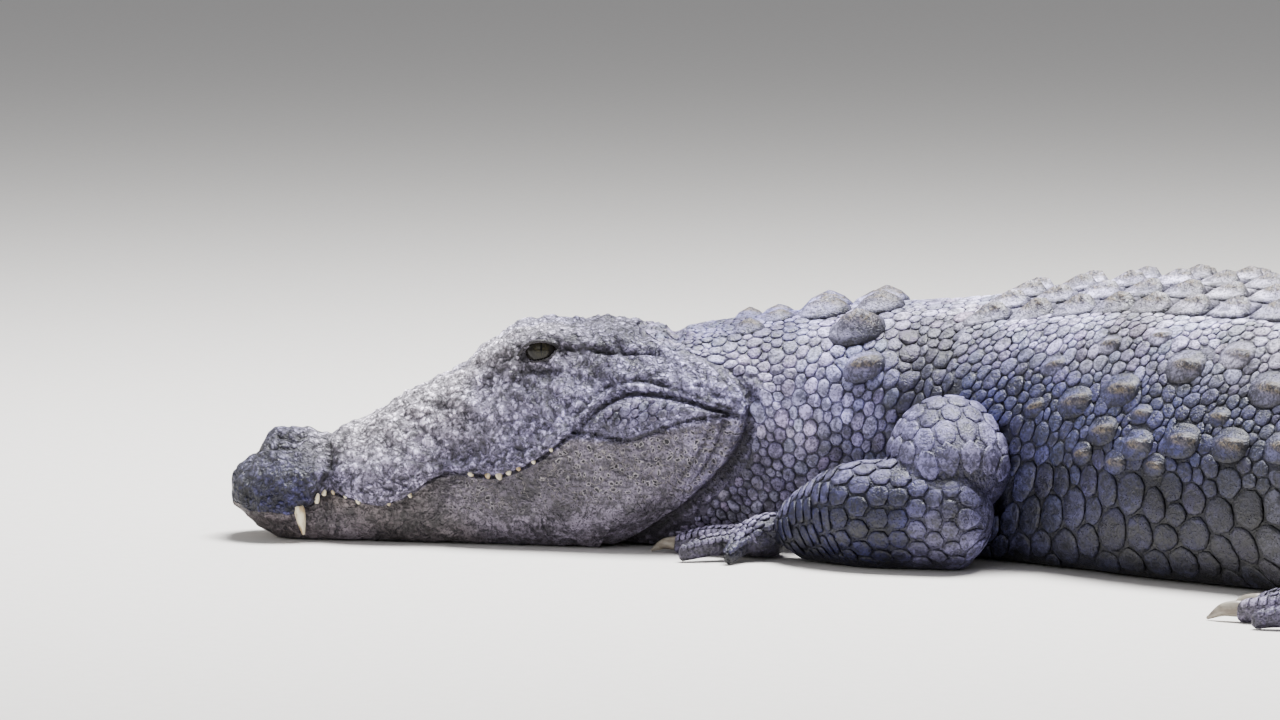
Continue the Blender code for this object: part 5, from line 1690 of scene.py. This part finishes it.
# a low crown paints shade on the skin that shows between scales, on the body and the limbs
crown = 0.62 * bare + 0.32
hollow_shade_all = skin_hollow_shade.copy()
for points, limb_faces in limb_skins.values():
    start = len(verts)
    drop = DROP * fade(points[:, 2], 0.0075, 0.017)  # what is nearly on the floor is set down on it
    points[:, 2] = np.maximum(points[:, 2] - drop, np.minimum(points[:, 2], 0.0003))
    verts = np.concatenate([verts, points])
    faces += [tuple(i + start for i in face) for face in limb_faces]
    up = np.zeros_like(points)
    tone = np.concatenate([tone, limb_tone(points, up)])
    bare = np.concatenate([bare, np.zeros(len(points))])
    crown = np.concatenate([crown, np.full(len(points), 0.48)])
    hollow_shade_all = np.concatenate([hollow_shade_all, np.zeros(len(points))])
bpy.data.objects.remove(body)
skin = new_object("skin", verts, faces)
store(skin.data, "tone", tone, "FLOAT_COLOR")
on_jaw = step(skin_where, 3.0, 3.15) * (skin_station < 0.6)
on_snout = (1 - on_jaw) * bare[:len(on_jaw)]
rest = np.zeros(len(verts) - len(on_jaw))
rugged = np.concatenate([on_snout * 0.95 + on_jaw * 0.25, rest + 0.3])
pores = np.concatenate([on_jaw * step(skin_station, 0.2, 0.34) * fade(skin_where, 3.7, 4.3), rest]) * bare
for name, values in (("crown", crown), ("crease", hollow_shade_all), ("bare", bare), ("rugged", rugged),
                     ("pores", pores)):
    store(skin.data, name, values)
skin.data.shade_smooth()
skin.data.materials.append(HIDE)
print("skin triangles:", sum(len(p.vertices) - 2 for p in skin.data.polygons))

# %% [markdown]
# ## Eyes and their rims
#
# A mugger's eye is olive, with an upright slit, and shows about a third of its ball. The ball is a closed
# sphere with its own map for the iris, and a thin beaded roll of skin edges each lid.

# %% Eyeballs
def eyeball(side, word):
    made = bmesh.new()
    bmesh.ops.create_uvsphere(made, u_segments=48, v_segments=32, radius=EYE_RADIUS)
    look_out = (Vector(place(EYE_PLACE[0] - 0.006, side * 1.0, 0.18))
                - Vector(place(EYE_PLACE[0], 0, 0))).normalized()
    made.transform(look_out.to_track_quat("Z", "Y").to_matrix().to_4x4())
    iris = made.loops.layers.uv.new("iris")
    flat = Vector((-look_out.y, look_out.x, 0)).normalized()
    upright = look_out.cross(flat)
    for face in made.faces:
        for loop in face.loops:
            spot = loop.vert.co / EYE_RADIUS
            front = 1.0 if spot.dot(look_out) > 0 else 3.0
            loop[iris].uv = (spot.dot(flat) * front, spot.dot(upright) * front)
    for vert in made.verts:
        ahead = vert.co.normalized().dot(look_out)
        vert.co *= 1 + 0.045 * max(0.0, (ahead - 0.86) / 0.14) ** 0.7  # the clear bulge over the iris
    made.transform(Matrix.Translation(Vector(place(EYE_PLACE[0], side * EYE_PLACE[1], EYE_PLACE[2]))))
    obj = new_object(f"eyeball_{word}", [], [])
    made.to_mesh(obj.data)
    made.free()
    obj.data.shade_smooth()
    obj.data.materials.append(EYE)
    return obj


EYES = {word: eyeball(side, word) for side, word in SIDES}
print("eyeballs:", len(EYES), "radius", EYE_RADIUS)

# %% A roll along a closed line, and a small piece's finish
def roll_along(name, points, radius_at, sides=10):
    """A closed roll through a closed line of points, with a radius for each."""
    points = np.array(points)
    ahead = unit(np.roll(points, -1, 0) - np.roll(points, 1, 0))
    away = points - points.mean(0)
    away = unit(away - (away * ahead).sum(1, keepdims=True) * ahead)
    other = np.cross(ahead, away)
    angle = np.linspace(0, 2 * np.pi, sides, endpoint=False)
    rings_ = points[:, None] + radius_at[:, None, None] * (away[:, None] * np.cos(angle)[None, :, None]
                                                           + other[:, None] * np.sin(angle)[None, :, None])
    index_ = np.arange(len(points) * sides).reshape(len(points), sides)
    nxt, ahead_ = np.roll(index_, -1, axis=1), np.roll(index_, -1, axis=0)
    faces_ = np.stack([index_, nxt, np.roll(nxt, -1, axis=0), ahead_], -1).reshape(-1, 4)
    return face_outward(new_object(name, rings_.reshape(-1, 3), faces_))


def dress(obj, finish, tone=None, crown=1.0):
    """Gives a small piece its finish, and the attributes that the hide's finish reads."""
    number = len(obj.data.vertices)
    if tone is not None:
        store(obj.data, "tone", np.tile(tone, (number, 1)), "FLOAT_COLOR")
        for name, value in (("crown", crown), ("crease", 0.0), ("bare", 0.3)):
            store(obj.data, name, np.full(number, value))
    obj.data.materials.clear()
    obj.data.materials.append(finish)
    obj.data.shade_smooth()
    return obj

# %% Lid rims: a beaded roll along the edge of the opening
def lid_rim(side, word):
    line = np.array(EYE_OPENING)
    reach_ = lengths_along(line)
    marks_ = np.linspace(0, reach_[-1], 120, endpoint=False)
    a, z = np.interp(marks_, reach_, line[:, 0]), np.interp(marks_, reach_, line[:, 1])
    for _ in range(3):
        a, z = (np.roll(v, 1) + 2 * v + np.roll(v, -1) for v in (a, z))
        a, z = a / 4, z / 4
    lid_ = EYE_RADIUS + 0.0016
    off = np.hypot(a - ball[0], z - ball[2])
    out = ball[1] + np.sqrt(np.maximum(lid_**2 - np.minimum(off, lid_ * 0.93) ** 2, 0))
    lower_ = step(-(z - 0.2135), -0.002, 0.002)
    bead = 0.00035 * np.sin(marks_ / 0.0034 * 2 * np.pi) * lower_
    rim = roll_along(f"eyelid_{word}", place(a, side * out, z), 0.0013 + 0.0007 * (1 - lower_) + bead)
    # the rim's dark tone and its low crown are partly painted shade round the eye's edge
    return dress(rim, HIDE, paint(58, 55, 62), 0.6)


LIDS = {word: lid_rim(side, word) for side, word in SIDES}
print("lid rims:", len(LIDS))

# %% [markdown]
# ## Teeth and claws
#
# With the mouth shut, a mugger still shows the tips of its teeth outside the lips, and one fang of the lower
# jaw in the notch behind the snout's tip. Teeth are cones with a slight bend, set in the gum where they show.
# Claws are longer, flattened and curved down to the ground.

# %% Tapered horns: one maker for teeth and claws
def horn(name, points, radii, finish, sides=14):
    tube = Tube(points, radii, "horn")
    tube.ends = np.array([min(tube.ends[0], tube.length * 0.2), min(tube.ends[1], tube.length * 0.12)])
    return dress(face_outward(new_object(name, *tube.grid(sides))), finish)


TEETH = (  # (along, height of its gum over the lip, length, radius, points up)
    (0.101, -0.003, 0.012, 0.0032, 1), (0.109, -0.002, 0.007, 0.0028, 1), (0.119, 0.002, 0.005, 0.0024, 0),
    (0.133, 0.003, 0.005, 0.0024, 0), (0.148, 0.003, 0.007, 0.003, 0), (0.183, 0.003, 0.006, 0.0028, 0),
    (0.207, 0.003, 0.006, 0.0028, 0), (0.277, -0.002, 0.006, 0.004, 1), (0.296, 0.003, 0.006, 0.0034, 0),
    (0.309, 0.003, 0.008, 0.0042, 0), (0.32, -0.002, 0.006, 0.0034, 1), (0.331, 0.003, 0.005, 0.003, 0),
    (0.348, 0.003, 0.005, 0.0028, 0), (0.368, 0.003, 0.004, 0.0024, 0),
)


def teeth(side, word):
    made = []
    for n, (a, lift, long, radius, up) in enumerate(TEETH):
        lip_out, lip_up = float(LIP_OUT(a)), float(LIP_UP(a))
        way = 1 if up else -1
        gum_ = place(a, side * (lip_out - 0.004), lip_up + lift)
        middle = place(a + 0.001, side * (lip_out - 0.002), lip_up + lift + way * long * 0.55)
        point = place(a + 0.002, side * (lip_out - 0.0016), lip_up + lift + way * long)
        made.append(horn(f"tooth_{word}_{n}", [gum_, middle, point],
                         [(radius, radius), (radius * 0.85, radius * 0.85), (0.0012, 0.0012)], TOOTH, 10))
    fang = [place(0.08, side * 0.06, 0.044), place(0.0835, side * 0.0608, 0.028),
            place(0.0865, side * 0.0575, 0.0085)]
    made.append(horn(f"fang_{word}", fang, [(0.0078, 0.007), (0.0058, 0.0055), (0.0016, 0.0016)], TOOTH, 16))
    return made


def join(objects, name):
    """One mesh of several, with the attributes that they share."""
    made = bmesh.new()
    for obj in objects:
        made.from_mesh(obj.data)
        bpy.data.objects.remove(obj)
    result = new_object(name, [], [])
    made.to_mesh(result.data)
    made.free()
    result.data.shade_smooth()
    return result

# %% Set the teeth and the claws
MOUTHS = {}
for side, word in SIDES:
    MOUTHS[word] = join(teeth(side, word), f"teeth_{word}")
    MOUTHS[word].data.materials.append(TOOTH)
claw_objects = {}
for (word, name), (_, claws) in LIMBS.items():
    for n, (back, point, radius) in enumerate(claws, 1):
        point = back + (point - back) * 0.85
        point.z -= CLAW_DROP
        bend = (back + point) / 2
        bend.z = radius * 0.98 - CLAW_DROP
        claw = horn(f"nail_{name}_{word}_{n}", [back, bend, point],
                    [(radius * 0.5, radius * 0.62), (radius * 0.38, radius * 0.5), (0.0012, 0.0014)], HORN)
        claw_objects[f"claw_{name}_{word}_{n}"] = claw
print("teeth:", 2 * len(TEETH) + 2, "claws:", len(claw_objects))

# %% [markdown]
# ## Placing the pieces
#
# The skin stands for all the fleshy solids, the coat rides on it, and eyeballs and claws stand for their
# solids.

# %% Ride and replace
FLESH = [node for node in frame["nodes"] if not node.startswith(("eye_", "claw_"))]
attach(skin, "root")
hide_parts(*FLESH)
for obj in [*scale_objects.values(), *LIDS.values()]:
    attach(obj, "root")
for word, obj in EYES.items():
    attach(obj, "root")
    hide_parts(f"eye_{word}")
for node, obj in claw_objects.items():
    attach(obj, "root")
    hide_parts(node)
for obj in MOUTHS.values():
    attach(obj, "root")
print("fleshy solids under the skin:", len(FLESH))

# %% [markdown]
# ## Floor, light and camera
#
# The animal lies on a plain pale floor under soft light from a wide panel overhead, as under a bright
# overcast sky. The camera stands low and far off, so that its view is flat, and looks along the ground.

# %% Floor
floor = new_object("floor", [(-14, -14, 0), (14, -14, 0), (14, 14, 0), (-14, 14, 0)], [(0, 1, 2, 3)])
plain = Shader("pale_floor")
speckle = plain.noise(60, 4)
plain.put(plain.base, "Base Color",
          plain.mix(speckle, rgba(paint(226, 222, 216)), rgba(paint(236, 232, 227))))
plain.base.inputs["Roughness"].default_value = 0.9
plain.bump(speckle, 0.05, 0.001)
floor.data.materials.append(plain.material)
print("floor:", len(floor.data.vertices), "corners")

# %% Lights
def panel(name, spot, target, size, watts, colour=(1, 1, 1)):
    light = bpy.data.lights.new(name, "AREA")
    light.shape, light.size, light.size_y = "RECTANGLE", size[0], size[1]
    light.energy, light.color = watts, colour
    obj = bpy.data.objects.new(name, light)
    obj.location = spot
    obj.rotation_euler = (Vector(target) - Vector(spot)).to_track_quat("-Z", "Y").to_euler()
    bpy.context.scene.collection.objects.link(obj)
    return obj


panel("sky", (-1.0, 0.7, 3.6), (-0.9, -0.1, 0), (2.2, 1.4), 610, (0.97, 0.98, 1.0))
panel("front", (-1.5, -5.5, 2.2), (-0.9, 0, 0.15), (3.5, 2.0), 34, (0.95, 0.97, 1.0))
panel("nose", (-4.5, -1.0, 1.6), (-1.2, -0.2, 0.1), (2.0, 1.5), 24, (1.0, 0.99, 0.97))
world = bpy.data.worlds.new("world")
bpy.context.scene.world = world
world.use_nodes = True
world.node_tree.nodes["Background"].inputs[0].default_value = (0.88, 0.9, 0.95, 1)
world.node_tree.nodes["Background"].inputs[1].default_value = 0.36
print("lights:", len(bpy.data.lights))

# %% Camera
AZIMUTH, ELEVATION, DISTANCE = math.radians(27), math.radians(6), 9.0
ASIDE, ABOVE = 0.468037, 0.146119  # where it looks, in metres to the right of the snout's tip and above it
LENS = 221.7375  # millimetres, for a sensor 36 mm wide
right = Vector((math.cos(AZIMUTH), math.sin(AZIMUTH), 0))
back = Vector((math.sin(AZIMUTH) * math.cos(ELEVATION), -math.cos(AZIMUTH) * math.cos(ELEVATION),
               math.sin(ELEVATION)))
up = back.cross(right)
tip = Vector((*ORIGIN, 0.055))
camera_data = bpy.data.cameras.new("camera")
camera_data.sensor_width = 36
camera_data.lens = LENS
camera = bpy.data.objects.new("camera", camera_data)
camera.matrix_world = Matrix.Translation(tip + back * DISTANCE + right * ASIDE + up * ABOVE) @ Matrix(
    (right, up, back)
).transposed().to_4x4()
camera_data.clip_end = 60
bpy.context.scene.collection.objects.link(camera)
bpy.context.scene.camera = camera
print("camera at", [round(v, 3) for v in camera.location], "lens", round(camera_data.lens, 1), "mm")
